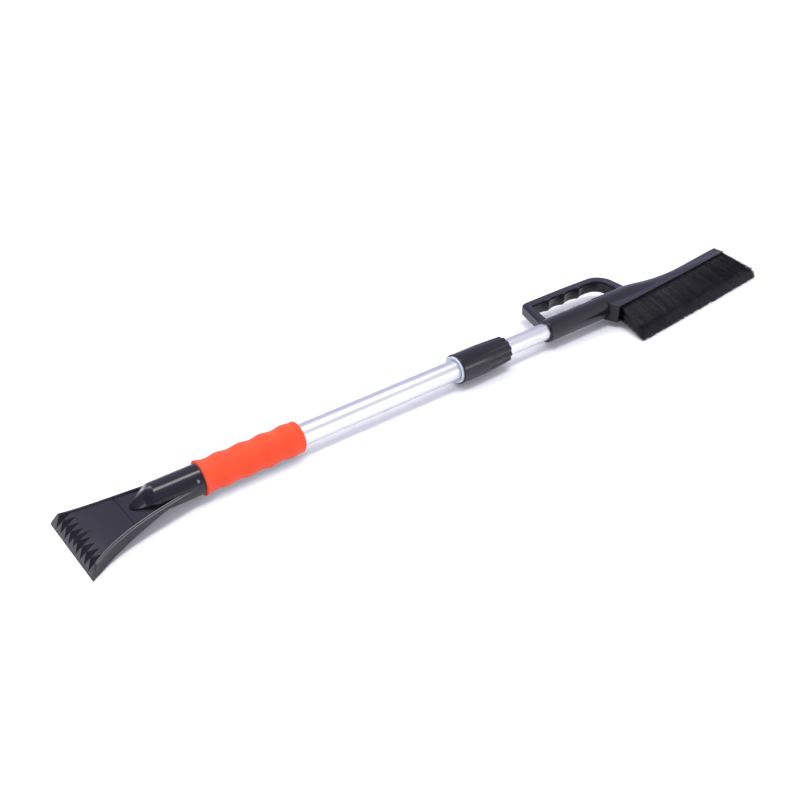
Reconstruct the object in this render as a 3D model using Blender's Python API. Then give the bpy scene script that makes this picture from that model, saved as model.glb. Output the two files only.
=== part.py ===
"""Telescoping windshield scraper with a snow brush at its other end.

Metres, +Z up. The tool lies flat: X runs along it from the ice scraper (-X) to the
brush (+X), the bristles point to -Y and the D-shaped hand grip points to +Y.
Stations along the tool are measured from the scraper's front edge, across it from
the tube's axis, and upwards from the ground. The last step moves the whole tool so
that the origin lies under the middle of its bounding box.
"""

import bpy
import bmesh
from math import acos, cos, pi, radians, sin
from mathutils import Matrix, Vector

# ---------------------------------------------------------------- driving dimensions
GAP = 0.0003                 # air between parts that touch
AXIS_Z = 0.0215              # height of the tube's axis above the ground
TURN_SEGMENTS = 48           # facets round a tube
SMALL_SEGMENTS = 24          # facets round a plug, ring, rivet or screw

# scraper head
EDGE_HALF_WIDTH = 0.0527     # half the length of the scraping edge
FLARE_SHARE = 0.38           # share of the plate's flare that is close behind the edge
FLARE_POWER = 5              # how close
BEVEL_LENGTH = 0.008         # run of the bevel behind the scraping edge
EDGE_LAND = 0.0006           # thickness of the scraping edge itself
PLATE_TOP_Z = 0.0224         # height of the plate's top where it is level
LEVEL_START_X = 0.090        # where the top becomes level
PLATE_DROP = 0.0093          # how much lower the top is behind the bevel
SOLE_LENGTH = 0.010          # flat strip under the edge that rests on the ground
SKIRT_RISE = 0.225           # slope of the skirts' lower edge behind the sole
SKIRT_LEAST = 0.0004         # least height of the plate's edge
PLATE_WALL = 0.0028
SKIRT_WALL = 0.0024
PLATE_END_X = 0.130          # where the plate's wings run out on the socket
WING_SINK = 0.0004           # how deep they end inside the socket's wall
POCKET_START_X = 0.015
POCKET_END_X = 0.082
RIB_OFFSETS = (-0.012, 0.0, 0.012)
RIB_THICKNESS = 0.0022
TOOTH_FIRST_Y = 0.0087       # the first notch on each side of the middle
TOOTH_PITCH = 0.010
TEETH_PER_SIDE = 4
NOTCH_START_X = 0.0012       # where the notches leave the bevel
NOTCH_START_Z = 0.0026
NOTCH_END_X = 0.019          # where they run out on the plate
NOTCH_FLARE = 0.80           # half width of a notch per unit of its depth
FLUTE_START_Z = 0.0040       # the flute in the middle of the edge starts higher
FLUTE_FLARE = 0.95
SOCKET_RADIUS = 0.0166
SOCKET_FRONT_X = 0.0875
SOCKET_END_X = 0.139
NOSE_TIP_X = 0.0642
NOSE_TIP_Z = 0.0262          # top of the nose at its tip
NOSE_ROOT_Z = 0.0205         # level of the plate round the nose
NOSE_PLAN = 0.0112           # how fast the nose widens: half width squared per length
NOSE_LIP = 0.0030            # upright foot of its flanks

# telescoping tubes and grip
OUTER_TUBE_RADIUS = 0.0125
OUTER_TUBE_BORE = 0.01135
OUTER_TUBE_START_X = 0.092
OUTER_TUBE_END_X = 0.505
GRIP_START_X = SOCKET_END_X + 0.0005
GRIP_END_X = 0.2585
GRIP_RADIUS = 0.0179
GRIP_WAVE = 0.0007
GRIP_WAVE_LENGTH = 0.026
GRIP_FLARE = 0.0008
INNER_TUBE_RADIUS = 0.0110
INNER_TUBE_BORE = 0.0100
INNER_TUBE_START_X = 0.176
INNER_TUBE_END_X = 0.712

# twist lock
COLLAR_START_X = 0.4785
FERRULE_START_X = 0.4770      # the ferrule's lip stands out of the collar
COLLAR_END_X = 0.556
COLLAR_RADIUS = 0.0186
COLLAR_END_RADIUS = 0.0166
COLLAR_RIBS = 12
COLLAR_RIB_DEPTH = 0.0016
COLLAR_TAPER_X = 0.514        # where its taper starts
COLLAR_RIB_X = 0.508          # where the grooves between its ribs start
COLLAR_CHAMFER = 0.0009
THREAD_RADIUS = 0.0166
THREAD_PITCH = 0.0030
THREAD_DEPTH = 0.0008
THREAD_PLAY = 0.0004          # between the ferrule's thread and the collar
FREE_PLAY = 0.0006            # between the inner tube and the collar's end
FERRULE_NOSE_RADIUS = 0.0142
COLLET_RADIUS = 0.0140
COLLET_TIP_RADIUS = 0.0124
COLLET_STRAIGHT = 0.006       # length of the collet before its cone
FERRULE_NOSE_X = 0.516
COLLET_LENGTH = 0.022
COLLET_SLOT = radians(9)

# brush head
BRUSH_SOCKET_X = 0.626
BRUSH_SOCKET_RADIUS = 0.0146
BLOCK_START_X = 0.735
BLOCK_END_X = 0.9800
BLOCK_FACE_Y = -0.0250       # the bristle face at BLOCK_START_X
BLOCK_FACE_SLOPE = 0.0905    # how the bristle face leans towards +Y along the tool
BLOCK_BACK_Y = 0.0126        # its back edge beside the socket
BLOCK_BOTTOM_Z = 0.0077
BLOCK_TOP_Z = 0.0318
BLOCK_TOP_DROP = 0.0005      # how much lower the top is along the arm
BLOCK_LEAN = 0.40            # slant of its left end, length per width
DRAW_IN_X = 0.772            # where the back edge starts to draw in
ARM_START_X = 0.880          # where only the slim arm is left
ARM_WIDTH = 0.0160
ARM_SWELL = 0.0016
BLOCK_CHAMFER = 0.0012
BACK_CHAMFER = 0.0022
BACK_CHAMFER_EXTRA = 0.0030  # more of it beside the socket
TIP_LENGTH = 0.0050          # rounding of the arm's end
TIP_SHRINK = 0.72
FAIRING_START_X = 0.775      # where the socket starts to sink into the block
FAIRING_END_X = 0.850
FAIRING_RADIUS = 0.0085
FAIRING_SHIFT = -0.0040
HANDLE_HALF_HEIGHT = 0.0083
HANDLE_DROOP = 0.0022        # how much lower the grip's left corner hangs
HANDLE_DROOP_LENGTH = 0.110
HANDLE_CHAMFER = 0.0026
GRIP_OUTER_CORNERS = (Vector((0.6270, 0.0020)), Vector((0.7895, 0.0020)), Vector((0.7895, 0.0618)),
                      Vector((0.6468, 0.0662)))
GRIP_INNER_CORNERS = (Vector((0.6425, 0.0085)), Vector((0.7735, 0.0085)), Vector((0.7735, 0.0500)),
                      Vector((0.6540, 0.0522)))
GRIP_OUTER_RADII = (0.001, 0.001, 0.026, 0.008)
GRIP_INNER_RADII = (0.001, 0.001, 0.016, 0.0025)
LEAST_RADIUS = 0.0004        # of any rounded corner
FINGER_BUMP = 0.0029
FINGER_PITCH = 0.0275
FINGER_FIRST_X = 0.6815
FINGER_WIDTH = 0.0240
CORNER_STEPS = 5             # facets round each corner of the hand grip
BAR_STEPS = 26               # lengths that the grip's bar is cut into

# bristles
TUFT_COLUMNS = 26
TUFT_ROOT = (0.744, 0.974)   # stations of the first and last column at the block
TUFT_TIP = (0.7405, 0.996)   # and at the trimmed tips
TUFT_TIP_Y = -0.0720
TUFT_TIP_SLOPE = 0.0900
TUFT_ROOT_Z = (0.0100, 0.0268)
TUFT_TIP_Z = (0.0, 0.0118)
TUFT_ROOT_WIDTH = 0.0058

# ---------------------------------------------------------------- materials
BLACK = ("black_plastic", (0.030, 0.027, 0.038), 0.38, 0.0)
FOAM = ("orange_foam", (1.0, 0.130, 0.040), 0.85, 0.0)
ALUMINIUM = ("anodised_aluminium", (0.80, 0.80, 0.86), 0.30, 1.0)
NYLON = ("pale_nylon", (0.72, 0.80, 0.88), 0.45, 0.0)
STEEL = ("zinc_steel", (0.62, 0.62, 0.64), 0.35, 1.0)
BRISTLE = ("black_bristle", (0.022, 0.021, 0.026), 0.60, 0.0)


def material(spec):
    name, colour, roughness, metallic = spec
    made = bpy.data.materials.get(name)
    if made is None:
        made = bpy.data.materials.new(name)
        made.use_nodes = True
        shader = made.node_tree.nodes["Principled BSDF"]
        shader.inputs["Base Color"].default_value = (*colour, 1.0)
        shader.inputs["Roughness"].default_value = roughness
        shader.inputs["Metallic"].default_value = metallic
    return made


# ---------------------------------------------------------------- mesh helpers
def finish_object(name, bm, spec):
    """Turn a bmesh into a scene object with outward faces and its material."""
    bmesh.ops.recalc_face_normals(bm, faces=bm.faces)
    mesh = bpy.data.meshes.new(name)
    bm.to_mesh(mesh)
    bm.free()
    if spec is not None:
        mesh.materials.append(material(spec))
    mesh.shade_smooth()
    mesh.set_sharp_from_angle(angle=radians(35))
    made = bpy.data.objects.new(name, mesh)
    bpy.context.scene.collection.objects.link(made)
    return made


def skin(bm, rows, closed=False):
    """Join equal rows of points, each a closed outline, into one closed surface.

    With closed=True the last row joins the first, as in a pipe wall turned from an
    outline. Otherwise the first and last rows are capped."""
    verts = [[bm.verts.new(point) for point in row] for row in rows]
    count = len(rows)
    across = len(rows[0])
    for i in range(count if closed else count - 1):
        near = verts[i]
        far = verts[(i + 1) % count]
        for j in range(across):
            k = (j + 1) % across
            bm.faces.new((near[j], near[k], far[k], far[j]))
    if not closed:
        bm.faces.new(verts[0])
        bm.faces.new(verts[-1])


def circle(x, radius, segments, y=0.0, z=AXIS_Z):
    steps = [2 * pi * (i + 0.5) / segments for i in range(segments)]
    return [Vector((x, y + radius * cos(a), z + radius * sin(a))) for a in steps]


def pipe(name, profile, spec, segments=TURN_SEGMENTS):
    """A hollow turned piece: profile is its wall's closed outline of (x, radius)."""
    bm = bmesh.new()
    skin(bm, [circle(x, radius, segments) for x, radius in profile], closed=True)
    return finish_object(name, bm, spec)


def split_ring(name, profile, slot, spec, segments):
    """A turned piece with one slot through its wall, at its lowest point."""
    bm = bmesh.new()
    start = -pi / 2 + slot / 2
    rows = []
    for i in range(segments + 1):
        angle = start + (2 * pi - slot) * i / segments
        rows.append([Vector((x, r * cos(angle), AXIS_Z + r * sin(angle))) for x, r in profile])
    skin(bm, rows)
    return finish_object(name, bm, spec)


def rod(name, profile, spec, segments, origin, direction):
    """A solid turned piece along any direction: profile is (distance, radius)."""
    bm = bmesh.new()
    turn = Vector((1, 0, 0)).rotation_difference(direction).to_matrix()
    rows = []
    for distance, radius in profile:
        ring = circle(distance, radius, segments, 0.0, 0.0)
        rows.append([origin + turn @ point for point in ring])
    skin(bm, rows)
    return finish_object(name, bm, spec)


def loft(name, rows, spec):
    bm = bmesh.new()
    skin(bm, rows)
    return finish_object(name, bm, spec)


def helper(made):
    made.hide_render = True
    made.display_type = "WIRE"
    return made


def boolean(target, operation, other):
    step = target.modifiers.new(operation.lower() + "_" + other.name, "BOOLEAN")
    step.operation = operation
    step.solver = "EXACT"
    step.object = helper(other)


# ---------------------------------------------------------------- scraper head
def smooth(share):
    share = min(1.0, max(0.0, share))
    return share * share * (3 - 2 * share)


def plate_half_width(x):
    """Sides that draw in quickly behind the edge and then evenly down to the socket."""
    least = SOCKET_RADIUS - WING_SINK
    left = 1 - x / PLATE_END_X
    share = (1 - FLARE_SHARE) * left + FLARE_SHARE * left ** FLARE_POWER
    return least + (EDGE_HALF_WIDTH - least) * share


def plate_top(x):
    if x < BEVEL_LENGTH:
        behind = plate_top(BEVEL_LENGTH)
        return EDGE_LAND + (behind - EDGE_LAND) * x / BEVEL_LENGTH
    return PLATE_TOP_Z - PLATE_DROP * (max(0.0, LEVEL_START_X - x) / (LEVEL_START_X - BEVEL_LENGTH)) ** 2


def plate_bottom(x):
    return min(max(0.0, SKIRT_RISE * (x - SOLE_LENGTH)), plate_top(x) - SKIRT_LEAST)


def plate_section(x):
    half = plate_half_width(x)
    top = plate_top(x)
    bottom = plate_bottom(x)
    return [Vector((x, -half, bottom)), Vector((x, half, bottom)),
            Vector((x, half, top)), Vector((x, -half, top))]


def stations_between(start, end, steps):
    return [start + (end - start) * i / steps for i in range(steps + 1)]


def scraper_pockets():
    """The hollows under the plate, with a rib left between each two."""
    below_ground = -0.002
    bm = bmesh.new()
    inner = [(-1, None)] + [(0, offset) for offset in RIB_OFFSETS] + [(1, None)]
    for left, right in zip(inner, inner[1:]):
        rows = []
        for x in stations_between(POCKET_START_X, POCKET_END_X, 6):
            wall = plate_half_width(x) - SKIRT_WALL
            low = -wall if left[1] is None else left[1] + RIB_THICKNESS / 2
            high = wall if right[1] is None else right[1] - RIB_THICKNESS / 2
            top = plate_top(x) - PLATE_WALL
            rows.append([Vector((x, low, below_ground)), Vector((x, high, below_ground)),
                         Vector((x, high, top)), Vector((x, low, top))])
        skin(bm, rows)
    return finish_object("pocket_cutter", bm, None)


def notch_rows(y, start_z, flare):
    """A V that opens upwards and follows the bevel and the plate just above their face."""
    above = 0.0002
    end_z = plate_top(NOTCH_END_X) + above / 2
    rows = []
    for x in (NOTCH_START_X, BEVEL_LENGTH, 0.5 * (BEVEL_LENGTH + NOTCH_END_X), NOTCH_END_X):
        low = start_z + (end_z - start_z) * (x - NOTCH_START_X) / (NOTCH_END_X - NOTCH_START_X)
        top = max(low, plate_top(x)) + above
        half = flare * (top - low)
        rows.append([Vector((x, y, low)), Vector((x, y + half, top)), Vector((x, y - half, top))])
    return rows


def tooth_notches():
    """V-notches across the bevel that fade out on the plate."""
    bm = bmesh.new()
    for side in (-1, 1):
        for i in range(TEETH_PER_SIDE):
            skin(bm, notch_rows(side * (TOOTH_FIRST_Y + TOOTH_PITCH * i), NOTCH_START_Z, NOTCH_FLARE))
    return finish_object("notch_cutter", bm, None)


def nose_row(x):
    """Upright foot, hollow flanks and a rounded ridge; near the socket it swells to its round."""
    share = (x - NOSE_TIP_X) / (SOCKET_FRONT_X - NOSE_TIP_X)
    half = (NOSE_PLAN * (x - NOSE_TIP_X + 0.0004)) ** 0.5
    ridge = NOSE_TIP_Z + (AXIS_Z + SOCKET_RADIUS - NOSE_TIP_Z) * (1 - (1 - share) ** 1.6)
    swell = smooth((share - 0.78) / 0.22)
    row = []
    for point in circle(x, 1.0, TURN_SEGMENTS, 0.0, 0.0):
        flank = max(0.0, 1 - (point.y ** 2 + 0.004) ** 0.5) ** 1.25
        up = NOSE_LIP * smooth(point.z / 0.3) + (ridge - NOSE_ROOT_Z - NOSE_LIP) * flank
        down = 0.0012 * min(0.0, point.z)
        nose = Vector((x, half * point.y, NOSE_ROOT_Z + (up if point.z > 0 else down)))
        round_point = Vector((x, SOCKET_RADIUS * point.y, AXIS_Z + SOCKET_RADIUS * point.z))
        row.append(nose.lerp(round_point, swell))
    return row


def scraper_socket():
    """The round socket with its ridged nose lying on the plate."""
    rows = [nose_row(x) for x in stations_between(NOSE_TIP_X, SOCKET_FRONT_X, 9)]
    rows.append(circle(SOCKET_END_X, SOCKET_RADIUS, TURN_SEGMENTS))
    return loft("socket_body", rows, None)


def make_scraper_head():
    stations = [0.0, BEVEL_LENGTH, SOLE_LENGTH] + stations_between(0.018, PLATE_END_X, 10)
    head = loft("scraper_head", [plate_section(x) for x in stations], BLACK)
    boolean(head, "DIFFERENCE", tooth_notches())
    boolean(head, "DIFFERENCE", loft("flute_cutter", notch_rows(0.0, FLUTE_START_Z, FLUTE_FLARE), None))
    boolean(head, "DIFFERENCE", scraper_pockets())
    boolean(head, "UNION", scraper_socket())
    bore = [circle(x, OUTER_TUBE_RADIUS + GAP, TURN_SEGMENTS)
            for x in (OUTER_TUBE_START_X - GAP, SOCKET_END_X + 0.001)]
    boolean(head, "DIFFERENCE", loft("socket_bore_cutter", bore, None))
    return head


# ---------------------------------------------------------------- rivet and screw
RIVET_X = 0.132
RIVET_DIRECTION = Vector((0.0, cos(radians(150)), sin(radians(150))))
RIVET_SHANK = 0.0016
RIVET_HEAD = 0.0020
SCREW_X = 0.652
SCREW_DIRECTION = Vector((0.0, 0.0, -1.0))
SCREW_SHANK = 0.0014
SCREW_HEAD = 0.0030


def make_fastener(name, station, direction, surface, inner, shank, head, spec):
    """A headed pin from outside a socket through its wall and the tube's wall."""
    origin = Vector((station, 0.0, AXIS_Z))
    seat = surface + GAP
    profile = [(inner, shank), (seat, shank), (seat, head), (seat + 0.0007, head * 0.86),
               (seat + 0.0012, head * 0.45)]
    return rod(name, profile, spec, SMALL_SEGMENTS, origin, direction)


def drill(target, station, direction, radius):
    origin = Vector((station, 0.0, AXIS_Z))
    cutter = rod(target.name + "_drill", [(0.004, radius + GAP), (0.030, radius + GAP)], None,
                 SMALL_SEGMENTS, origin, direction)
    boolean(target, "DIFFERENCE", cutter)


# ---------------------------------------------------------------- tubes and grip
def make_outer_tube():
    tube = pipe("outer_tube", [(OUTER_TUBE_START_X, OUTER_TUBE_RADIUS), (OUTER_TUBE_END_X, OUTER_TUBE_RADIUS),
                               (OUTER_TUBE_END_X, OUTER_TUBE_BORE), (OUTER_TUBE_START_X, OUTER_TUBE_BORE)],
                ALUMINIUM)
    drill(tube, RIVET_X, RIVET_DIRECTION, RIVET_SHANK)
    return tube


def grip_radius(x):
    """Shallow finger waves that end in a small flare at each end."""
    phase = 2 * pi * (x - GRIP_START_X) / GRIP_WAVE_LENGTH
    to_end = min(x - GRIP_START_X, GRIP_END_X - x)
    flare = GRIP_FLARE * max(0.0, 1 - to_end / 0.008)
    return GRIP_RADIUS + GRIP_WAVE * cos(phase) + flare


def make_foam_grip():
    steps = 22
    bore = OUTER_TUBE_RADIUS + GAP
    profile = [(GRIP_START_X, bore), (GRIP_START_X, grip_radius(GRIP_START_X) - 0.001)]
    for i in range(steps + 1):
        x = GRIP_START_X + 0.001 + (GRIP_END_X - GRIP_START_X - 0.003) * i / steps
        profile.append((x, grip_radius(x)))
    profile += [(GRIP_END_X, grip_radius(GRIP_END_X) - 0.0022), (GRIP_END_X, bore)]
    return pipe("foam_grip", profile, FOAM, 32)


def make_inner_tube():
    tube = pipe("inner_tube", [(INNER_TUBE_START_X, INNER_TUBE_RADIUS), (INNER_TUBE_END_X, INNER_TUBE_RADIUS),
                               (INNER_TUBE_END_X, INNER_TUBE_BORE), (INNER_TUBE_START_X, INNER_TUBE_BORE)],
                ALUMINIUM)
    drill(tube, SCREW_X, SCREW_DIRECTION, SCREW_SHANK)
    return tube


RING_LENGTH = 0.008
PLUG_FLANGE = 0.0020


def make_inner_plug():
    """Plastic plug pressed into the inner tube, with a groove for the guide ring."""
    stem = INNER_TUBE_BORE - GAP
    flange = INNER_TUBE_RADIUS - 0.0002
    groove = 0.0085
    face = INNER_TUBE_START_X - GAP
    inner_flange = face - PLUG_FLANGE
    outer_flange = inner_flange - RING_LENGTH - 2 * GAP
    hollow = 0.0060
    profile = [(outer_flange - PLUG_FLANGE, flange - 0.0006), (outer_flange - PLUG_FLANGE + 0.0006, flange),
               (outer_flange, flange), (outer_flange, groove), (inner_flange, groove),
               (inner_flange, flange), (face, flange), (face, stem), (face + 0.018, stem),
               (face + 0.019, stem - 0.001), (face + 0.019, hollow),
               (outer_flange - PLUG_FLANGE, hollow)]
    return pipe("inner_plug", profile, NYLON)


def make_guide_ring():
    end = INNER_TUBE_START_X - GAP - PLUG_FLANGE - GAP
    profile = [(end - RING_LENGTH, 0.0088), (end, 0.0088), (end, 0.01104), (end - RING_LENGTH, 0.01104)]
    return split_ring("guide_ring", profile, radians(12), NYLON, TURN_SEGMENTS)


# ---------------------------------------------------------------- twist lock
def make_lock_ferrule():
    """Pale sleeve fixed on the outer tube's end; its thread carries the collar."""
    on_tube = OUTER_TUBE_RADIUS + GAP
    free_bore = INNER_TUBE_RADIUS + 0.00035
    shoulder = OUTER_TUBE_END_X + GAP
    start = FERRULE_START_X
    profile = [(start, on_tube), (start, 0.0152), (start + 0.0012, 0.0165), (start + 0.005, THREAD_RADIUS)]
    root = THREAD_RADIUS - THREAD_DEPTH
    x = start + 0.006
    while x + THREAD_PITCH < OUTER_TUBE_END_X:
        profile += [(x, THREAD_RADIUS), (x + 0.3 * THREAD_PITCH, root), (x + 0.7 * THREAD_PITCH, root)]
        x += THREAD_PITCH
    profile += [(x, THREAD_RADIUS), (x + 0.002, THREAD_RADIUS), (x + 0.003, FERRULE_NOSE_RADIUS + GAP),
                (FERRULE_NOSE_X, FERRULE_NOSE_RADIUS), (FERRULE_NOSE_X, free_bore), (shoulder, free_bore),
                (shoulder, on_tube)]
    return pipe("lock_ferrule", profile, NYLON)


def make_lock_collet():
    """Split clamping ring between the ferrule and the cone inside the collar."""
    start = FERRULE_NOSE_X + GAP
    bore = INNER_TUBE_RADIUS + 0.0003
    end = start + COLLET_LENGTH
    profile = [(start, bore), (end, bore), (end, COLLET_TIP_RADIUS), (start + COLLET_STRAIGHT, COLLET_RADIUS),
               (start, COLLET_RADIUS)]
    return split_ring("lock_collet", profile, COLLET_SLOT, NYLON, TURN_SEGMENTS)


def collar_radius(x):
    """Plain barrel for its first half, then a taper towards the brush."""
    if x <= COLLAR_TAPER_X:
        return COLLAR_RADIUS
    along = (x - COLLAR_TAPER_X) / (COLLAR_END_X - COLLAR_TAPER_X)
    return COLLAR_RADIUS + (COLLAR_END_RADIUS - COLLAR_RADIUS) * along ** 0.9


def collar_groove(x):
    """Depth of the grooves between the ribs: nothing on the barrel, full at the end."""
    along = (x - COLLAR_RIB_X) / (COLLAR_END_X - 0.004 - COLLAR_RIB_X)
    return COLLAR_RIB_DEPTH * min(1.0, max(0.0, along)) ** 0.7


def make_lock_collar():
    steps = COLLAR_RIBS * 6
    angles = [2 * pi * (i + 0.5) / steps for i in range(steps)]

    def ring(x, radius, depth=0.0):
        row = []
        for angle in angles:
            dip = 0.5 - 0.5 * cos(COLLAR_RIBS * angle)
            r = radius - depth * dip
            row.append(Vector((x, r * cos(angle), AXIS_Z + r * sin(angle))))
        return row

    rows = [ring(COLLAR_START_X, COLLAR_RADIUS - COLLAR_CHAMFER),
            ring(COLLAR_START_X + COLLAR_CHAMFER, COLLAR_RADIUS)]
    rib_end = COLLAR_END_X - COLLAR_CHAMFER
    for x in [COLLAR_RIB_X] + stations_between(COLLAR_TAPER_X, rib_end, 5):
        rows.append(ring(x, collar_radius(x), collar_groove(x)))
    rows.append(ring(COLLAR_END_X, COLLAR_END_RADIUS - COLLAR_RIB_DEPTH, 0.0004))
    free_bore = INNER_TUBE_RADIUS + FREE_PLAY
    cone_start = FERRULE_NOSE_X + GAP + COLLET_STRAIGHT
    cone_end = FERRULE_NOSE_X + GAP + COLLET_LENGTH
    rows.append(ring(COLLAR_END_X, free_bore))
    rows.append(ring(cone_end + 0.001, free_bore))
    rows.append(ring(cone_end + 0.0009, COLLET_TIP_RADIUS + THREAD_PLAY))
    rows.append(ring(cone_start, COLLET_RADIUS + 0.0005))
    rows.append(ring(FERRULE_NOSE_X - 0.003, FERRULE_NOSE_RADIUS + 0.0008))
    rows.append(ring(FERRULE_NOSE_X - 0.0055, THREAD_RADIUS + THREAD_PLAY))
    rows.append(ring(COLLAR_START_X, THREAD_RADIUS + THREAD_PLAY))
    bm = bmesh.new()
    skin(bm, rows, closed=True)
    return finish_object("lock_collar", bm, BLACK)


# ---------------------------------------------------------------- brush head
def block_face(x):
    return BLOCK_FACE_Y + BLOCK_FACE_SLOPE * (x - BLOCK_START_X)


def block_back(x):
    """Back edge: in line with the socket at first, then drawn in to the slim arm."""
    slim = block_face(x) + ARM_WIDTH + ARM_SWELL * smooth((x - ARM_START_X) / 0.09)
    share = smooth((x - DRAW_IN_X) / (ARM_START_X - DRAW_IN_X))
    return BLOCK_BACK_Y + (slim - BLOCK_BACK_Y) * share


def block_top(x):
    return BLOCK_TOP_Z - BLOCK_TOP_DROP * smooth((x - BLOCK_START_X) / 0.165)


def block_section(x):
    """Eight-sided section with its edges broken; the left end face leans with y."""
    near = block_face(x)
    back = block_back(x)
    top = block_top(x)
    break_edge = BLOCK_CHAMFER
    back_edge = BACK_CHAMFER + BACK_CHAMFER_EXTRA * (1 - smooth((x - DRAW_IN_X) / (ARM_START_X - DRAW_IN_X)))
    outline = [(near, BLOCK_BOTTOM_Z + break_edge), (near, top - break_edge),
               (near + break_edge, top), (back - back_edge, top), (back, top - back_edge),
               (back, BLOCK_BOTTOM_Z + back_edge), (back - back_edge, BLOCK_BOTTOM_Z),
               (near + break_edge, BLOCK_BOTTOM_Z)]
    lean = BLOCK_LEAN * max(0.0, 1 - (x - BLOCK_START_X) / 0.02)
    return [Vector((x - lean * max(0.0, y - BLOCK_FACE_Y), y, z)) for y, z in outline]


def make_block():
    stations = [BLOCK_START_X, 0.5 * (BLOCK_START_X + DRAW_IN_X)]
    stations += stations_between(DRAW_IN_X, ARM_START_X, 6)
    stations += stations_between(ARM_START_X, BLOCK_END_X - TIP_LENGTH, 3)[1:]
    rows = [block_section(x) for x in stations]
    for share, shrink in ((0.6, 0.92), (1.0, TIP_SHRINK)):
        tip = block_section(BLOCK_END_X - TIP_LENGTH * (1 - share))
        middle = sum(tip, Vector()) / len(tip)
        rows.append([middle + (point - middle) * shrink for point in tip])
    return loft("brush_head", rows, BLACK)


def inset_corner(before, here, after, inset):
    """Move a corner of an anticlockwise outline inwards, square to both its sides."""
    into = (here - before).normalized()
    out = (after - here).normalized()
    normals = Vector((-into.y, into.x)) + Vector((-out.y, out.x))
    return here + normals * (2 * inset / normals.length_squared)


def loop_outline(corners, radii, inset, bar_steps, bump):
    """Rounded four-cornered outline; its third side is the bar, cut up for the bumps."""
    count = len(corners)
    moved = [inset_corner(corners[i - 1], corners[i], corners[(i + 1) % count], inset)
             for i in range(count)]
    points = []
    for i, corner in enumerate(moved):
        back = (moved[i - 1] - corner).normalized()
        ahead = (moved[(i + 1) % count] - corner).normalized()
        half = acos(max(-1.0, min(1.0, back.dot(ahead)))) / 2
        radius = max(LEAST_RADIUS, radii[i] - inset)
        centre = corner + (back + ahead).normalized() * (radius / sin(half))
        start = corner + back * (radius / sin(half) * cos(half)) - centre
        sweep = pi - 2 * half
        for k in range(CORNER_STEPS + 1):
            turn = Matrix.Rotation(sweep * k / CORNER_STEPS, 2)
            points.append(centre + turn @ start)
        if i == 2:
            begin = points[-1]
            end = moved[3] + (moved[2] - moved[3]).normalized() * max(LEAST_RADIUS, radii[3] - inset)
            for k in range(1, bar_steps):
                point = begin.lerp(end, k / bar_steps)
                points.append(point - Vector((0.0, bump(point.x))))
    return points


def finger_bump(x):
    """Three swellings between the four finger hollows, on the inner side of the bar."""
    centres = [FINGER_FIRST_X + FINGER_PITCH * i for i in range(3)]
    return FINGER_BUMP * sum(0.5 + 0.5 * cos(2 * pi * (x - c) / FINGER_WIDTH)
                             for c in centres if abs(x - c) < FINGER_WIDTH / 2)


def handle_droop(x):
    return HANDLE_DROOP * (1 - smooth((x - BRUSH_SOCKET_X) / HANDLE_DROOP_LENGTH))


def make_handle_loop():
    """The D-shaped hand grip: a ring whose fourth side is buried in the socket."""
    tall = HANDLE_HALF_HEIGHT
    levels = [(-tall, HANDLE_CHAMFER), (-0.6 * tall, 0.0004), (0.0, 0.0), (0.6 * tall, 0.0004),
              (tall, HANDLE_CHAMFER)]
    rows = []
    for height, inset in levels:
        flat = loop_outline(GRIP_OUTER_CORNERS, GRIP_OUTER_RADII, inset, BAR_STEPS, lambda x: 0.0)
        rows.append([Vector((point.x, point.y, AXIS_Z + height - handle_droop(point.x))) for point in flat])
    for height, inset in reversed(levels):
        flat = loop_outline(GRIP_INNER_CORNERS, GRIP_INNER_RADII, -inset, BAR_STEPS, finger_bump)
        rows.append([Vector((point.x, point.y, AXIS_Z + height - handle_droop(point.x))) for point in flat])
    bm = bmesh.new()
    skin(bm, rows, closed=True)
    return finish_object("handle_loop", bm, None)


def make_brush_head():
    head = make_block()
    front = BRUSH_SOCKET_X
    rows = [circle(front, BRUSH_SOCKET_RADIUS - 0.0008, TURN_SEGMENTS),
            circle(front + 0.0008, BRUSH_SOCKET_RADIUS, TURN_SEGMENTS),
            circle(FAIRING_START_X, BRUSH_SOCKET_RADIUS, TURN_SEGMENTS),
            circle(0.5 * (FAIRING_START_X + FAIRING_END_X), 0.6 * BRUSH_SOCKET_RADIUS + 0.4 * FAIRING_RADIUS,
                   TURN_SEGMENTS, 0.4 * FAIRING_SHIFT),
            circle(FAIRING_END_X, FAIRING_RADIUS, TURN_SEGMENTS, FAIRING_SHIFT)]
    boolean(head, "UNION", loft("brush_socket", rows, None))
    boolean(head, "UNION", make_handle_loop())
    bore = [circle(x, INNER_TUBE_RADIUS + GAP, TURN_SEGMENTS)
            for x in (BRUSH_SOCKET_X - 0.001, INNER_TUBE_END_X + GAP)]
    boolean(head, "DIFFERENCE", loft("brush_bore_cutter", bore, None))
    drill(head, SCREW_X, SCREW_DIRECTION, SCREW_SHANK)
    return head


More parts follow.
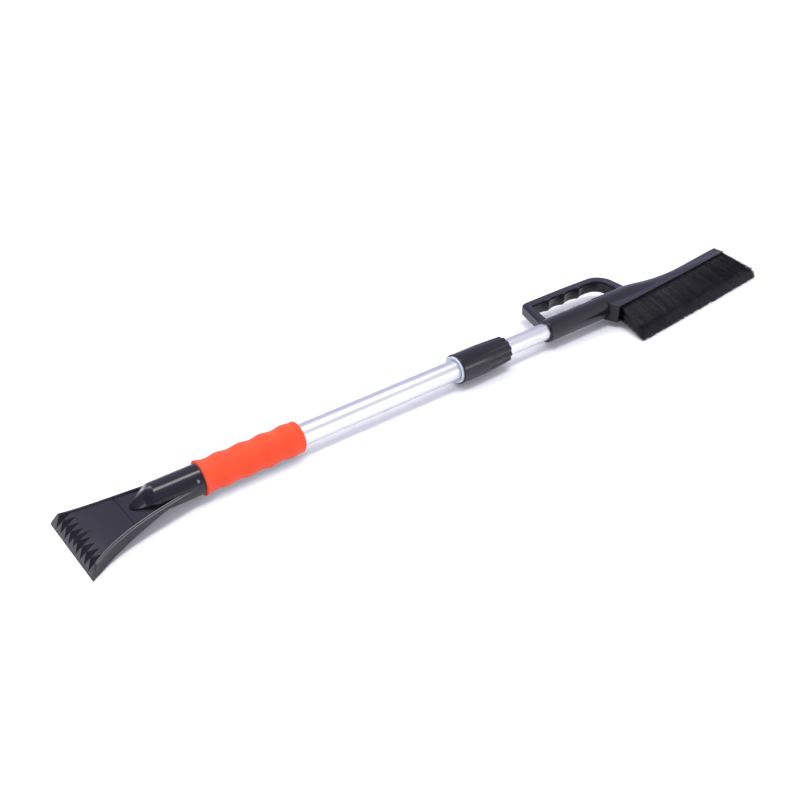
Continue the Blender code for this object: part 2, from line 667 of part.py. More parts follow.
# ---------------------------------------------------------------- bristles
def make_tufts():
    """One solid per column of tufts; the columns fan out towards their tips."""
    made = []
    root_pitch = (TUFT_ROOT[1] - TUFT_ROOT[0]) / (TUFT_COLUMNS - 1)
    tip_pitch = (TUFT_TIP[1] - TUFT_TIP[0]) / (TUFT_COLUMNS - 1)
    for i in range(TUFT_COLUMNS):
        root_x = TUFT_ROOT[0] + root_pitch * i
        tip_x = TUFT_TIP[0] + tip_pitch * i
        rows = []
        for share in (0.0, 0.5, 1.0):
            x = root_x + (tip_x - root_x) * share
            half = 0.5 * (TUFT_ROOT_WIDTH + (tip_pitch - GAP - TUFT_ROOT_WIDTH) * share ** 0.8)
            low = TUFT_ROOT_Z[0] + (TUFT_TIP_Z[0] - TUFT_ROOT_Z[0]) * share ** 1.3
            high = TUFT_ROOT_Z[1] + (TUFT_TIP_Z[1] - TUFT_ROOT_Z[1]) * share ** 1.2
            row = []
            for side, z in ((-half, low), (half, low), (half, high), (-half, high)):
                root_y = block_face(x + side) - GAP
                tip_y = TUFT_TIP_Y + TUFT_TIP_SLOPE * (x + side - BLOCK_START_X)
                row.append(Vector((x + side, root_y + (tip_y - root_y) * share, z)))
            rows.append(row)
        made.append(loft("bristle_tufts_%02d" % (i + 1), rows, BRISTLE))
    return made


# ---------------------------------------------------------------- assembly
def clear_scene():
    for old in list(bpy.data.objects):
        bpy.data.objects.remove(old, do_unlink=True)


def empty(name, location, parent=None):
    made = bpy.data.objects.new(name, None)
    made.location = location
    made.parent = parent
    bpy.context.scene.collection.objects.link(made)
    return made


def hang(parent, pieces):
    """Parent each piece and its helpers without moving them."""
    for piece in pieces:
        piece.parent = parent
        for step in piece.modifiers:
            if step.type == "BOOLEAN":
                step.object.parent = parent


def model_middle():
    """Middle of the visible pieces' bounding box in plan."""
    depsgraph = bpy.context.evaluated_depsgraph_get()
    low = Vector((1e9, 1e9, 1e9))
    high = -low
    for made in bpy.context.scene.objects:
        if made.type == "MESH" and not made.hide_render:
            for corner in made.evaluated_get(depsgraph).bound_box:
                point = made.matrix_world @ Vector(corner)
                low = Vector(map(min, low, point))
                high = Vector(map(max, high, point))
    return (low + high) / 2


def main():
    clear_scene()
    handle = [
        make_scraper_head(), make_outer_tube(), make_foam_grip(), make_lock_ferrule(),
        make_fastener("scraper_rivet", RIVET_X, RIVET_DIRECTION, SOCKET_RADIUS,
                      OUTER_TUBE_BORE - 0.0004 + GAP, RIVET_SHANK, RIVET_HEAD, STEEL),
    ]
    drill(handle[0], RIVET_X, RIVET_DIRECTION, RIVET_SHANK)
    brush = [
        make_inner_tube(), make_inner_plug(), make_brush_head(),
        make_fastener("brush_screw", SCREW_X, SCREW_DIRECTION, BRUSH_SOCKET_RADIUS,
                      INNER_TUBE_BORE - 0.001, SCREW_SHANK, SCREW_HEAD, STEEL),
    ] + make_tufts()
    origin = empty("tool_origin", (0, 0, 0))
    hang(origin, handle)
    hang(origin, [make_lock_collet(), make_lock_collar(), make_guide_ring()])
    hang(origin, brush)
    bpy.context.view_layer.update()
    middle = model_middle()
    origin.location = (-middle.x, -middle.y, 0)
    bpy.context.view_layer.update()


main()
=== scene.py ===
"""Looks of the telescoping windshield scraper with snow brush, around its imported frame.

Shapes are worked out in the tool's own stations, in metres: X from the scraping edge
towards the brush, Y across from the tubes' axis, Z up from the ground. TOOL_PLACE
moves them into the frame. Bristles point to -Y and the hand grip to +Y.
"""
import random
from math import acos, cos, pi, radians, sin, sqrt

import bmesh
import bpy
from mathutils import Matrix, Vector, noise


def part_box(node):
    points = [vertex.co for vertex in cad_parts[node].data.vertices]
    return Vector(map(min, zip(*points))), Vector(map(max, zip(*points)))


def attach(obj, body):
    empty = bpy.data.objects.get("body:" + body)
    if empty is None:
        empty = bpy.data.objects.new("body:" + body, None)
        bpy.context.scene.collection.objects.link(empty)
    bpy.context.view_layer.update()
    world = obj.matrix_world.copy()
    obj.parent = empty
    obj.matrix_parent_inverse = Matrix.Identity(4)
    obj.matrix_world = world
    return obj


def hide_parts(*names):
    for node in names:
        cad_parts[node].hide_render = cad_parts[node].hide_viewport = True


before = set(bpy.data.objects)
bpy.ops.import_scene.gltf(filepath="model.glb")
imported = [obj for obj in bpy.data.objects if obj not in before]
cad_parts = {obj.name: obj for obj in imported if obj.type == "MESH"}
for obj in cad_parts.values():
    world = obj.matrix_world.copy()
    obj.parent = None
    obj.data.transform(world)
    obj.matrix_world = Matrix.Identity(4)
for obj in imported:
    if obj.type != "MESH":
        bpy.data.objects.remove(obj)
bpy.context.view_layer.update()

# -------- sizes from the frame
OUTER_TUBE_START_X = 0.092
tube_low, tube_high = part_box("outer_tube")
AXIS_Z = (tube_low.z + tube_high.z) / 2
TOOL_PLACE = Vector((tube_low.x - OUTER_TUBE_START_X, (tube_low.y + tube_high.y) / 2, 0.0))


def stations(node):
    """First and last station of a CAD node along the tool."""
    low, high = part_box(node)
    return low.x - TOOL_PLACE.x, high.x - TOOL_PLACE.x


GAP = 0.0003  # between pieces that sit in or on each other
TURN_COUNT = 128  # points round a piece
ROD_COUNT = 48  # and round one that goes across the tool
DRILL_REACH = (0.004, 0.030)  # from the tubes' axis
BORE_OVERRUN = 0.001  # how far a cutter runs out of an open end
OUTER_TUBE_END_X = stations("outer_tube")[1]
OUTER_TUBE_RADIUS = 0.0125
OUTER_TUBE_BORE = 0.01135
INNER_TUBE_START_X, INNER_TUBE_END_X = stations("inner_tube")
INNER_TUBE_RADIUS = 0.0110
INNER_TUBE_BORE = 0.0100
COLLAR_START_X, COLLAR_END_X = stations("lock_collar")
BRUSH_SOCKET_X = stations("brush_head")[0]

# scraper's plate
EDGE_HALF_WIDTH = 0.0527
FLARE_SHARE = 0.38
FLARE_POWER = 5
BEVEL_LENGTH = 0.008
EDGE_LAND = 0.0006
LEAST_THICKNESS = 0.0004
CORNER_ROUND = 0.0016  # plan rounding of the two front corners
PLATE_TOP_Z = 0.0224
LEVEL_START_X = 0.090
PLATE_DROP = 0.0093
SOLE_LENGTH = 0.010
SKIRT_RISE = 0.225
PLATE_END_X = 0.130
PLATE_END_INSET = 0.0004  # how far its end lies inside the socket's round
BEAD_WIDTH = 0.0008  # sloping face of each of the rim's two beads
BEAD_FALL = 0.0003
BEAD_GAP = 0.0018
RIM_WIDTH = 2 * BEAD_WIDTH + BEAD_FALL + BEAD_GAP
RIM_STEP = 0.0008  # how far the plate's face lies below its rims
RIM_FOOT = 0.0004  # width of the slope from a rim to the face
RIM_SLOPE = 0.55  # outward slope of the beads
RIM_RISE = 0.0014  # how far the rims climb beside the socket
RIM_RISE_X, RIM_RISE_LENGTH = 0.055, 0.060
EDGE_ROUND = 0.00012
CREASE_X = 0.0578
CREASE_CORNERS = ((0.0, -0.0006), (0.0009, 0.0004), (-0.0009, 0.0004))  # from the face

# pockets in the plate's underside, with ribs between them
POCKET_X = (0.015, 0.082)
POCKET_BELOW_Z = -0.002  # where their cutters start, below the ground
POCKET_OVERCUT = 0.0006  # how far they go into the plate's wall
PLATE_WALL = 0.0028
SKIRT_WALL = 0.0024
RIB_OFFSETS = (-0.012, 0.0, 0.012)
RIB_THICKNESS = 0.0022

# notches between the teeth; the middle one is the flute
TOOTH_FIRST_Y = 0.0087
TOOTH_PITCH = 0.010
TEETH_PER_SIDE = 4
NOTCH_START_X = 0.0012
NOTCH_START_Z = 0.0026
NOTCH_END_X = 0.0195
NOTCH_FLARE = 0.92  # half width of a notch per unit of its depth
NOTCH_ABOVE = 0.0002  # how far its cutter stands above the surface
FLUTE_START_Z = 0.0040
FLUTE_END_X = 0.0225
FLUTE_FLARE = 1.00

# scraper's socket with its nose, and the rivet
SOCKET_RADIUS = 0.0166
SOCKET_FRONT_X = 0.0875
SOCKET_END_X = 0.139
NOSE_TIP_X = 0.0642
NOSE_TIP_Z = 0.0262
NOSE_ROOT_Z = 0.0203
NOSE_PLAN = 0.0112  # its half width squared per length
NOSE_BLUNT = 0.0005  # length that its plan starts ahead of the tip
NOSE_INSET = 0.0003  # how far it stays inside the socket's round
NOSE_RIDGE_POWER = 1.6
NOSE_RIDGE_ROUND = 0.008
NOSE_LIP = (0.0016, 0.0088)  # upright foot of its flanks, at the tip and at the socket
NOSE_LIP_POWER = 1.8
NOSE_LIP_RISE = 0.34  # share of the round over which the foot rises
NOSE_FLANK_POWER = (1.1, 0.8)  # at the tip, and what it gains by the socket
NOSE_BELLY = 0.0012  # its part below the plate's face
NOSE_SWELL = (0.55, 0.45, 1.6)  # share where it begins to turn round, length and power
NOSE_TIP_ROUND = ((0.0009, 0.45), (0.0007, 0.68), (0.0004, 0.86), (0.00015, 0.96))
RIVET_X = 0.132
RIVET_DIRECTION = Vector((0.0, cos(radians(150)), sin(radians(150))))
RIVET_HOLE_RADIUS = 0.0019

# foam grip
GRIP_START_X, GRIP_END_X = stations("foam_grip")
GRIP_RADIUS = 0.0179
GRIP_WAVE = 0.0007
GRIP_WAVE_LENGTH = 0.026
GRIP_END_FLARE = 0.0008
GRIP_FLARE_LENGTH = 0.008
GRIP_ROLLS = ((GRIP_START_X, 0.0010), (GRIP_END_X, 0.0024))
GRIP_UNEVENNESS = ((0.00010, 70), (0.00004, 300))  # depth and frequency

# inner tube's plug and its guide ring
PLUG_FLANGE = 0.0020
RING_LENGTH = 0.008

# twist lock
THREAD_RADIUS = 0.0166
THREAD_PITCH = 0.0030
THREAD_DEPTH = 0.0008
FERRULE_NOSE_X = 0.516
FERRULE_BORE_GAP = 0.00035
COLLET_LENGTH = 0.022
COLLET_BORE_GAP = 0.0003
COLLET_RADIUS = 0.0140
COLLET_END_RADIUS = 0.0124
COLLET_CONE_START = 0.006
COLLAR_RADIUS = 0.0185
COLLAR_END_RADIUS = 0.0166
COLLAR_TAPER_X = 0.514
COLLAR_TAPER_POWER = 1.1
COLLAR_BORE_GAP = 0.0006
COLLAR_RIBS = 12
COLLAR_RIB_DEPTH = 0.0021
COLLAR_RIB_X = 0.507
COLLAR_RIB_POWER = 0.6
COLLAR_RIB_ROUND = 0.0009
GROOVE_WIDTH = (0.06, 0.36)  # in rib pitches: at its point, and what it gains by its end

# brush's block and socket
BRUSH_SOCKET_RADIUS = 0.0146
BLOCK_START_X = 0.735
BLOCK_END_X = 0.9800
BLOCK_FACE_Y = -0.0250
BLOCK_FACE_SLOPE = 0.0905
BLOCK_BACK_Y = 0.0126  # beside the socket
BLOCK_NECK_X = (0.772, 0.880)  # where the block slims down
BLOCK_WIDTH = 0.0160
BLOCK_SWELL, BLOCK_SWELL_LENGTH = 0.0016, 0.09
BLOCK_BOTTOM_Z = 0.0077
BLOCK_NEAR_ROUND = 0.0009
BLOCK_BACK_ROUND = (0.0024, 0.0062)  # slim part, and what it gains at the start
BACK_ROUND_X, BACK_ROUND_LENGTH = 0.760, 0.1
BLOCK_LEAN, BLOCK_LEAN_LENGTH = 0.40, 0.02  # its start slants across its width
BLOCK_TIP_RADIUS = 0.0046
BLOCK_TIP_ANGLES = (15, 30, 45, 60, 72, 82)
ROOF_Z = 0.0318
ROOF_FALL, ROOF_FALL_X, ROOF_FALL_LENGTH = 0.0005, 0.74, 0.16
ROOF_CLEAR = 0.00006  # how far the roof stays above the socket that it covers
ROOF_HOLLOW = 0.0040
FAIRING_X = (0.775, 0.850)
FAIRING_SHIFT_Y = -0.0040
FAIRING_END_RADIUS = 0.0085

# hand grip: corners in plan and their radii, round to the left end of the bar
HANDLE_OUTER = ((0.6270, 0.0020), (0.7895, 0.0020), (0.7895, 0.0618), (0.6468, 0.0662))
HANDLE_OUTER_RADII = (0.001, 0.001, 0.026, 0.008)
HANDLE_INNER = ((0.6425, 0.0085), (0.7735, 0.0085), (0.7735, 0.0500), (0.6540, 0.0522))
HANDLE_INNER_RADII = (0.001, 0.001, 0.016, 0.0025)
HANDLE_INNER_SHARE = -0.4  # the opening's edges are broken less, and the other way
LEAST_RADIUS = 0.0004
BAR_END = 0.010  # plain length at the bar's left end
CORNER_STEPS = 14
BAR_STEPS = 120
HANDLE_HALF_HEIGHT = 0.0083
HANDLE_DROOP, HANDLE_DROOP_LENGTH = 0.0022, 0.110
FINGER_FIRST_X = 0.6815
FINGER_PITCH = 0.0275
FINGER_HEIGHT = 0.0038
FINGER_ROUND = 0.0025

# screw under the brush's socket
SCREW_X = 0.652
SCREW_DIRECTION = Vector((0.0, 0.0, -1.0))
SCREW_HOLE_RADIUS = 0.0017

# bristles: the root and tip pairs run from the first tuft to the last
TUFT_COLUMNS = 26
TUFT_ROWS = 5
TUFTS_PER_COLUMN = 2
TUFT_STAGGER = 0.12
TUFT_ROOT_X = (0.744, 0.974)
TUFT_TIP_X = (0.7405, 0.9950)
TUFT_TIP_Y = -0.0720
TUFT_TIP_SLOPE = 0.0900
TUFT_ROOT_Z = (0.0117, 0.0284)
TUFT_TIP_Z = (0.0011, 0.0112)
TUFT_RADIUS = 0.0021
TUFT_SHADE = (0.05, 0.65)
TUFT_LEAN = (0.0012, 0.0008, 0.0007)  # scatter of a whole tuft's tip
FILAMENTS_PER_TUFT = 44
FILAMENT_RADIUS = 0.00018
FILAMENT_TAPER = 0.25
FILAMENT_SIDES = 3
FILAMENT_STEPS = 5
FILAMENT_SHADE = 0.22  # scatter within a tuft
FILAMENT_FLOOR_Z = 0.0004
ROOT_DEPTH = 0.0012  # in the block
FAN_SCATTER = 0.0022
FAN_SPREAD = 1.2  # of a tip along the brush, per distance from the tuft's middle
RISE_SCATTER = 0.0009
RISE_SPREAD = 0.8
RAGGED = (0.0014, 0.0020)  # trim of the cut ends, and what it gains at the far end
RAGGED_END = (0.85, 0.15)  # share of the brush where it gains it, and over what share
ROW_TRIM = 0.0038  # how much shorter the top row is
STRAY_CHANCE = 0.12
STRAY_TRIM = 0.008
BOW_SCATTER = 0.0012
HOP_SCATTER = 0.0007
FAN_CURVE = (0.35, 0.65, 1.5)
SAG_POWER = 1.25
TUFT_END_X = stations("bristle_tufts_26")[1] - 0.0004
TUFT_END_EASE = 0.004  # length over which the tips close up to that end

# studio
CAMERA_PLACE = (-0.6856, -0.7643, 0.6361)
CAMERA_ANGLES = (-37.14, 32.95, -0.84)  # azimuth, elevation and roll, in degrees
FRONT_WALL = (0.36, 0.35, 0.45)
RIGHT_WALL = (1.06, 1.06, 1.08)
BACK_WALL = (0.59, 0.585, 0.84)
LEFT_WALL = (0.26, 0.255, 0.34)
CEILING = (0.60, 0.60, 0.71)
WHITE = (1.0, 1.0, 1.0)
WARM_WHITE = (1.0, 0.99, 0.98)


# -------- node helpers
PATCH_RANGE = (0.3, 0.7)  # where most of a cloud's values lie
MIX_SHARE, MIX_FIRST, MIX_SECOND, MIX_RESULT = 0, 6, 7, 2  # a colour mix's sockets


def feed(tree, node, inputs):
    """Into a node's inputs: a socket is linked, any other value is set."""
    for key, value in inputs.items():
        if isinstance(value, bpy.types.NodeSocket):
            tree.links.new(value, node.inputs[key])
        else:
            node.inputs[key].default_value = value


def add(tree, kind, inputs=None, **settings):
    node = tree.nodes.new("ShaderNode" + kind)
    for key, value in settings.items():
        setattr(node, key, value)
    feed(tree, node, inputs or {})
    return node


def place(tree, stretch=(1.0, 1.0, 1.0)):
    """The piece's own coordinates in metres, stretched along its axes."""
    source = add(tree, "TexCoord").outputs["Object"]
    return add(tree, "Mapping", {"Vector": source, "Scale": stretch}).outputs["Vector"]


def cloud(tree, size, detail, stretch=(1.0, 1.0, 1.0)):
    """Noise from 0 to 1 with features of about that size in metres."""
    inputs = {"Vector": place(tree, stretch), "Scale": 1.0 / size, "Detail": detail}
    return add(tree, "TexNoise", inputs).outputs[0]


def cells(tree, size, feature="F1"):
    inputs = {"Vector": place(tree), "Scale": 1.0 / size}
    return add(tree, "TexVoronoi", inputs, feature=feature).outputs["Distance"]


def spread(tree, value, low, high, start=0.0, end=1.0):
    """Map value from start..end to low..high."""
    inputs = {"Value": value, "From Min": start, "From Max": end, "To Min": low, "To Max": high}
    return add(tree, "MapRange", inputs).outputs["Result"]


def blend(tree, share, first, second):
    """Mix two colours, each a socket or a triple."""
    first, second = [value if isinstance(value, bpy.types.NodeSocket) else (*value, 1.0)
                     for value in (first, second)]
    inputs = {MIX_SHARE: share, MIX_FIRST: first, MIX_SECOND: second}
    return add(tree, "Mix", inputs, data_type="RGBA").outputs[MIX_RESULT]


def patches(tree, pattern, first, second):
    """Two colours in soft patches."""
    return blend(tree, spread(tree, pattern, 0.0, 1.0, *PATCH_RANGE), first, second)


def bump(tree, height, depth, under=None):
    """Bumps of that depth, on top of other bumps if there are any."""
    inputs = {"Height": height, "Distance": depth, "Strength": 1.0}
    if under is not None:
        inputs["Normal"] = under
    return add(tree, "Bump", inputs).outputs["Normal"]


# -------- materials
def black_plastic(tree):
    """Satin moulded polypropylene: fine spark-eroded grain and faint flow marks."""
    flow = cloud(tree, 0.030, 4.0, (0.35, 1.0, 1.0))
    handling = cloud(tree, 0.014, 2.0)
    grain = cloud(tree, 0.0006, 0.0)
    return {
        "Base Color": patches(tree, flow, (0.0105, 0.0092, 0.0155), (0.0130, 0.0114, 0.0185)),
        "Roughness": spread(tree, handling, 0.185, 0.215, *PATCH_RANGE),
        "IOR": 1.44,
        "Normal": bump(tree, grain, 0.0000008)}


def orange_foam(tree):
    """Closed-cell foam with a soft skin of fine open pores."""
    fading = cloud(tree, 0.022, 3.0)
    pores = cells(tree, 0.00050, "SMOOTH_F1")
    skin = cloud(tree, 0.00022, 2.0)
    # darker at the pores' centres: painted shade in the open pores
    pore_shade = spread(tree, pores, 1.0, 0.0, 0.05, 0.45)
    body = patches(tree, fading, (0.90, 0.060, 0.0105), (0.94, 0.073, 0.0155))
    return {
        "Base Color": blend(tree, spread(tree, pore_shade, 0.0, 0.30), body, (0.62, 0.050, 0.012)),
        "Roughness": spread(tree, skin, 0.74, 0.92),
        "Sheen Weight": 0.10,
        "Sheen Roughness": 0.50,
        "Normal": bump(tree, pores, 0.00007, bump(tree, skin, 0.00003))}


def anodised_aluminium(tree):
    """Drawn tube, blasted and clear anodised: faint long draw lines under a soft gloss."""
    lines = cloud(tree, 0.00035, 2.0, (0.004, 1.0, 1.0))
    blasting = cloud(tree, 0.00018, 1.0)
    bands = cloud(tree, 0.040, 2.0)
    tint = patches(tree, bands, (0.74, 0.74, 0.765), (0.78, 0.78, 0.805))
    drawn = spread(tree, lines, 0.0, 0.10, 0.4, 0.7)
    return {
        "Base Color": blend(tree, drawn, tint, (0.66, 0.66, 0.71)),
        "Metallic": 1.0,
        "Roughness": spread(tree, lines, 0.34, 0.40),
        "Normal": bump(tree, blasting, 0.000002, bump(tree, lines, 0.000002))}


def pale_nylon(tree):
    """Natural nylon, slightly milky, with a trace of moulding flow."""
    flow = cloud(tree, 0.006, 3.0)
    grain = cloud(tree, 0.00025, 2.0)
    return {
        "Base Color": blend(tree, flow, (0.66, 0.74, 0.84), (0.78, 0.84, 0.92)),
        "Roughness": spread(tree, grain, 0.36, 0.50),
        "Normal": bump(tree, grain, 0.000006)}


def zinc_steel(tree):
    """Dulled zinc plating with small crystals."""
    crystals = cells(tree, 0.0006)
    scuffs = cloud(tree, 0.0008, 4.0)
    return {
        "Base Color": blend(tree, crystals, (0.17, 0.17, 0.19), (0.26, 0.26, 0.29)),
        "Metallic": 1.0,
        "Roughness": spread(tree, scuffs, 0.38, 0.52),
        "Normal": bump(tree, scuffs, 0.000008)}


def bristle_fibre(tree):
    """Black nylon filaments, each of its own shade, painted paler at their cut ends as a highlight
    where the ends catch light.
    """
    shade = add(tree, "Attribute", attribute_name="shade").outputs["Fac"]
    along = add(tree, "Attribute", attribute_name="along").outputs["Fac"]
    body = blend(tree, shade, (0.004, 0.0037, 0.0060), (0.034, 0.032, 0.044))
    # paler over the last twentieth of each filament: a painted highlight on the cut ends
    tip = blend(tree, spread(tree, along, 0.0, 0.40, 0.95, 1.0), body, (0.070, 0.070, 0.086))
    dust = spread(tree, cloud(tree, 0.004, 4.0), 0.0, 0.20, 0.45, 0.8)
    return {
        "Base Color": blend(tree, dust, tip, (0.045, 0.043, 0.054)),
        "Roughness": spread(tree, shade, 0.34, 0.50)}


def pale_floor(tree):
    """Plain, with a painted glow that lifts its shade and is brighter away from the tool."""
    tone = cloud(tree, 0.5, 2.0)
    away = add(tree, "VectorMath", {"Vector": place(tree)}, operation="LENGTH").outputs["Value"]
    return {
        "Base Color": blend(tree, tone, (0.95, 0.95, 0.955), (0.965, 0.965, 0.97)),
        # painted glow: the floor gives off light, weak near the tool and stronger away from it
        "Emission Color": (*WHITE, 1.0),
        "Emission Strength": spread(tree, away, 0.09, 0.45, 0.6, 2.0),
        "Roughness": 0.9,
        "Specular IOR Level": 0.1}


def make_material(recipe):
    made = bpy.data.materials.new(recipe.__name__)
    made.use_nodes = True
    tree = made.node_tree
    feed(tree, tree.nodes["Principled BSDF"], recipe(tree))
    return made


finishes = {slot: make_material(recipe) for slot, recipe in (
    ("black_plastic", black_plastic), ("orange_foam", orange_foam),
    ("aluminium", anodised_aluminium), ("pale_nylon", pale_nylon),
    ("zinc_steel", zinc_steel), ("bristle", bristle_fibre))}


# -------- mesh helpers
def new_object(name, data):
    made = bpy.data.objects.new(name, data)
    bpy.context.scene.collection.objects.link(made)
    return made


def to_object(name, bm):
    bmesh.ops.recalc_face_normals(bm, faces=bm.faces)
    mesh = bpy.data.meshes.new(name)
    bm.to_mesh(mesh)
    bm.free()
    return new_object(name, mesh)


def loft(name, rows, closed=False):
    """A closed surface through equal rows of points, each row a closed outline."""
    bm = bmesh.new()
    verts = [[bm.verts.new(point) for point in row] for row in rows]
    count = len(rows)
    across = len(rows[0])
    for i in range(count if closed else count - 1):
        near = verts[i]
        far = verts[(i + 1) % count]
        for j in range(across):
            k = (j + 1) % across
            bm.faces.new((near[j], near[k], far[k], far[j]))
    if not closed:
        bm.faces.new(verts[0])
        bm.faces.new(verts[-1])
    return to_object(name, bm)


def ring(x, radius, count=TURN_COUNT, y=0.0, z=AXIS_Z):
    steps = [2 * pi * (i + 0.5) / count for i in range(count)]
    return [Vector((x, y + radius * cos(a), z + radius * sin(a))) for a in steps]


def turned(name, profile):
    """A hollow turned piece: profile is its wall's closed outline of (x, radius)."""
    return loft(name, [ring(x, radius) for x, radius in profile], closed=True)


def split_ring(name, profile, slot):
    """A turned piece with one slot through its wall, at its lowest point."""
    rows = []
    for i in range(TURN_COUNT + 1):
        angle = -pi / 2 + slot / 2 + (2 * pi - slot) * i / TURN_COUNT
        rows.append([Vector((x, r * cos(angle), AXIS_Z + r * sin(angle))) for x, r in profile])
    return loft(name, rows)


def rod(name, profile, station, direction):
    """A solid turned piece across the tool: profile is (distance from the axis, radius)."""
    turn = Vector((1, 0, 0)).rotation_difference(direction).to_matrix()
    origin = Vector((station, 0.0, AXIS_Z))
    rows = [[origin + turn @ point for point in ring(distance, radius, ROD_COUNT, 0.0, 0.0)]
            for distance, radius in profile]
    return loft(name, rows)


def oblong(x, left, right, low, high):
    """A rectangular cross-section."""
    corners = ((left, low), (right, low), (right, high), (left, high))
    return [Vector((x, y, z)) for y, z in corners]


def settle(piece):
    """Replace a piece's mesh by what its modifiers make of it."""
    depsgraph = bpy.context.evaluated_depsgraph_get()
    mesh = bpy.data.meshes.new_from_object(piece.evaluated_get(depsgraph))
    piece.modifiers.clear()
    old = piece.data
    piece.data = mesh
    bpy.data.meshes.remove(old)


def combine(piece, operation, *others):
    """Boolean the other shapes into a piece and remove them."""
    for other in others:
        step = piece.modifiers.new(operation.lower(), "BOOLEAN")
        step.operation = operation
        step.solver = "EXACT"
        step.object = other
    settle(piece)
    for other in others:
        bpy.data.objects.remove(other, do_unlink=True)


def drill(piece, radius, station, direction):
    """A hole across the tool, through one side."""
    profile = [(distance, radius) for distance in DRILL_REACH]
    combine(piece, "DIFFERENCE", rod("drill", profile, station, direction))


def cut_bore(piece, start, end, radius):
    rows = [ring(x, radius + GAP) for x in (start, end)]
    combine(piece, "DIFFERENCE", loft("bore", rows))


def round_edges(piece, width, segments, limit):
    step = piece.modifiers.new("round_edges", "BEVEL")
    step.width = width
    step.segments = segments
    step.limit_method = "ANGLE"
    step.angle_limit = radians(limit)
    step.use_clamp_overlap = True
    settle(piece)


def even_normals(piece):
    """Let large faces set the shading, so that cuts and narrow edges leave no marks."""
    step = piece.modifiers.new("even_normals", "WEIGHTED_NORMAL")
    step.keep_sharp = True
    step.weight = 60
    settle(piece)


def finish_piece(piece, body, slot, nodes, sharp=32, even=False):
    """Into the frame, shaded, with its finish and its body; the CAD nodes it stands for are hidden.
    """
    piece.data.transform(Matrix.Translation(TOOL_PLACE))
    piece.data.shade_smooth()
    piece.data.set_sharp_from_angle(angle=radians(sharp))
    if even:
        even_normals(piece)
    piece.data.materials.clear()
    piece.data.materials.append(finishes[slot])
    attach(piece, body)
    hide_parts(*nodes)


def smooth(share):
    share = min(1.0, max(0.0, share))
    return share * share * (3 - 2 * share)


def between(ends, share):
    return ends[0] + (ends[1] - ends[0]) * share


def evenly(start, end, steps):
    return [start + (end - start) * i / steps for i in range(steps + 1)]


def arc(y, z, radius, start, end, steps):
    """Points of an arc in a cross-section, from one angle to another."""
    angles = [radians(angle) for angle in evenly(start, end, steps)]
    return [(y + radius * cos(a), z + radius * sin(a)) for a in angles]


# -------- scraper head
def plate_half_width(x):
    least = SOCKET_RADIUS - PLATE_END_INSET
    left = 1 - x / PLATE_END_X
    share = (1 - FLARE_SHARE) * left + FLARE_SHARE * left ** FLARE_POWER
    return least + (EDGE_HALF_WIDTH - least) * share


def plate_top(x):
    if x < BEVEL_LENGTH:
        return EDGE_LAND + (plate_top(BEVEL_LENGTH) - EDGE_LAND) * x / BEVEL_LENGTH
    share = max(0.0, LEVEL_START_X - x) / (LEVEL_START_X - BEVEL_LENGTH)
    return PLATE_TOP_Z - PLATE_DROP * share ** 2


def plate_bottom(x):
    return min(max(0.0, SKIRT_RISE * (x - SOLE_LENGTH)), plate_top(x) - LEAST_THICKNESS)


def rim_top(x):
    return plate_top(x) + RIM_RISE * smooth((x - RIM_RISE_X) / RIM_RISE_LENGTH)


def face_start():
    """Station where the bevel meets the plate's lowered face."""
    rise = (plate_top(BEVEL_LENGTH) - EDGE_LAND) / BEVEL_LENGTH
    return BEVEL_LENGTH - RIM_STEP / rise


def plate_section(x):
    """Sole, side walls, rims of two beads each, and the plate's face lying lower between."""
    half = plate_half_width(x)
    inside = max(0.0, 1 - x / CORNER_ROUND)
    half -= CORNER_ROUND * (1 - sqrt(1 - inside * inside))
    full = min(1.0, max(0.1, (half - SOCKET_RADIUS + PLATE_END_INSET) / RIM_WIDTH))
    step = RIM_STEP if x >= BEVEL_LENGTH else 0.0
    foot_x = face_start() if x == BEVEL_LENGTH else x
    top = rim_top(x)
    low = top - RIM_SLOPE * BEAD_WIDTH * full * step / RIM_STEP
    crest = half - BEAD_WIDTH * full
    rim = half - RIM_WIDTH * full
    right = [
        (x, half, plate_bottom(x)), (x, half, low), (x, crest, top),
        (x, crest - BEAD_FALL * full, low), (x, rim + BEAD_WIDTH * full, low), (x, rim, top),
        (foot_x, rim - RIM_FOOT, plate_top(x) - step)]
    left = [(px, -py, pz) for px, py, pz in reversed(right)]
    return [Vector(point) for point in right + left]


def plate_stations():
    """Close together round the corners, and where the plate's end meets the socket."""
    xs = [CORNER_ROUND * share for share in (0.0, 0.12, 0.3, 0.6, 1.0)]
    xs += [0.0035, BEVEL_LENGTH]
    xs += [0.012 + 0.0039 * i for i in range(20)]
    return xs + [0.090, 0.096, 0.102, 0.108, 0.113, 0.118, 0.122, 0.126, PLATE_END_X]


def scraper_pockets():
    made = []
    sides = [None, *RIB_OFFSETS, None]
    for left, right in zip(sides, sides[1:]):
        rows = []
        for x in evenly(*POCKET_X, 16):
            wall = plate_half_width(x) - SKIRT_WALL
            low = -wall if left is None else left + RIB_THICKNESS / 2
            high = wall if right is None else right - RIB_THICKNESS / 2
            top = plate_top(x) - RIM_STEP - PLATE_WALL + POCKET_OVERCUT
            rows.append(oblong(x, low, high, POCKET_BELOW_Z, top))
        made.append(loft("pocket", rows))
    return made


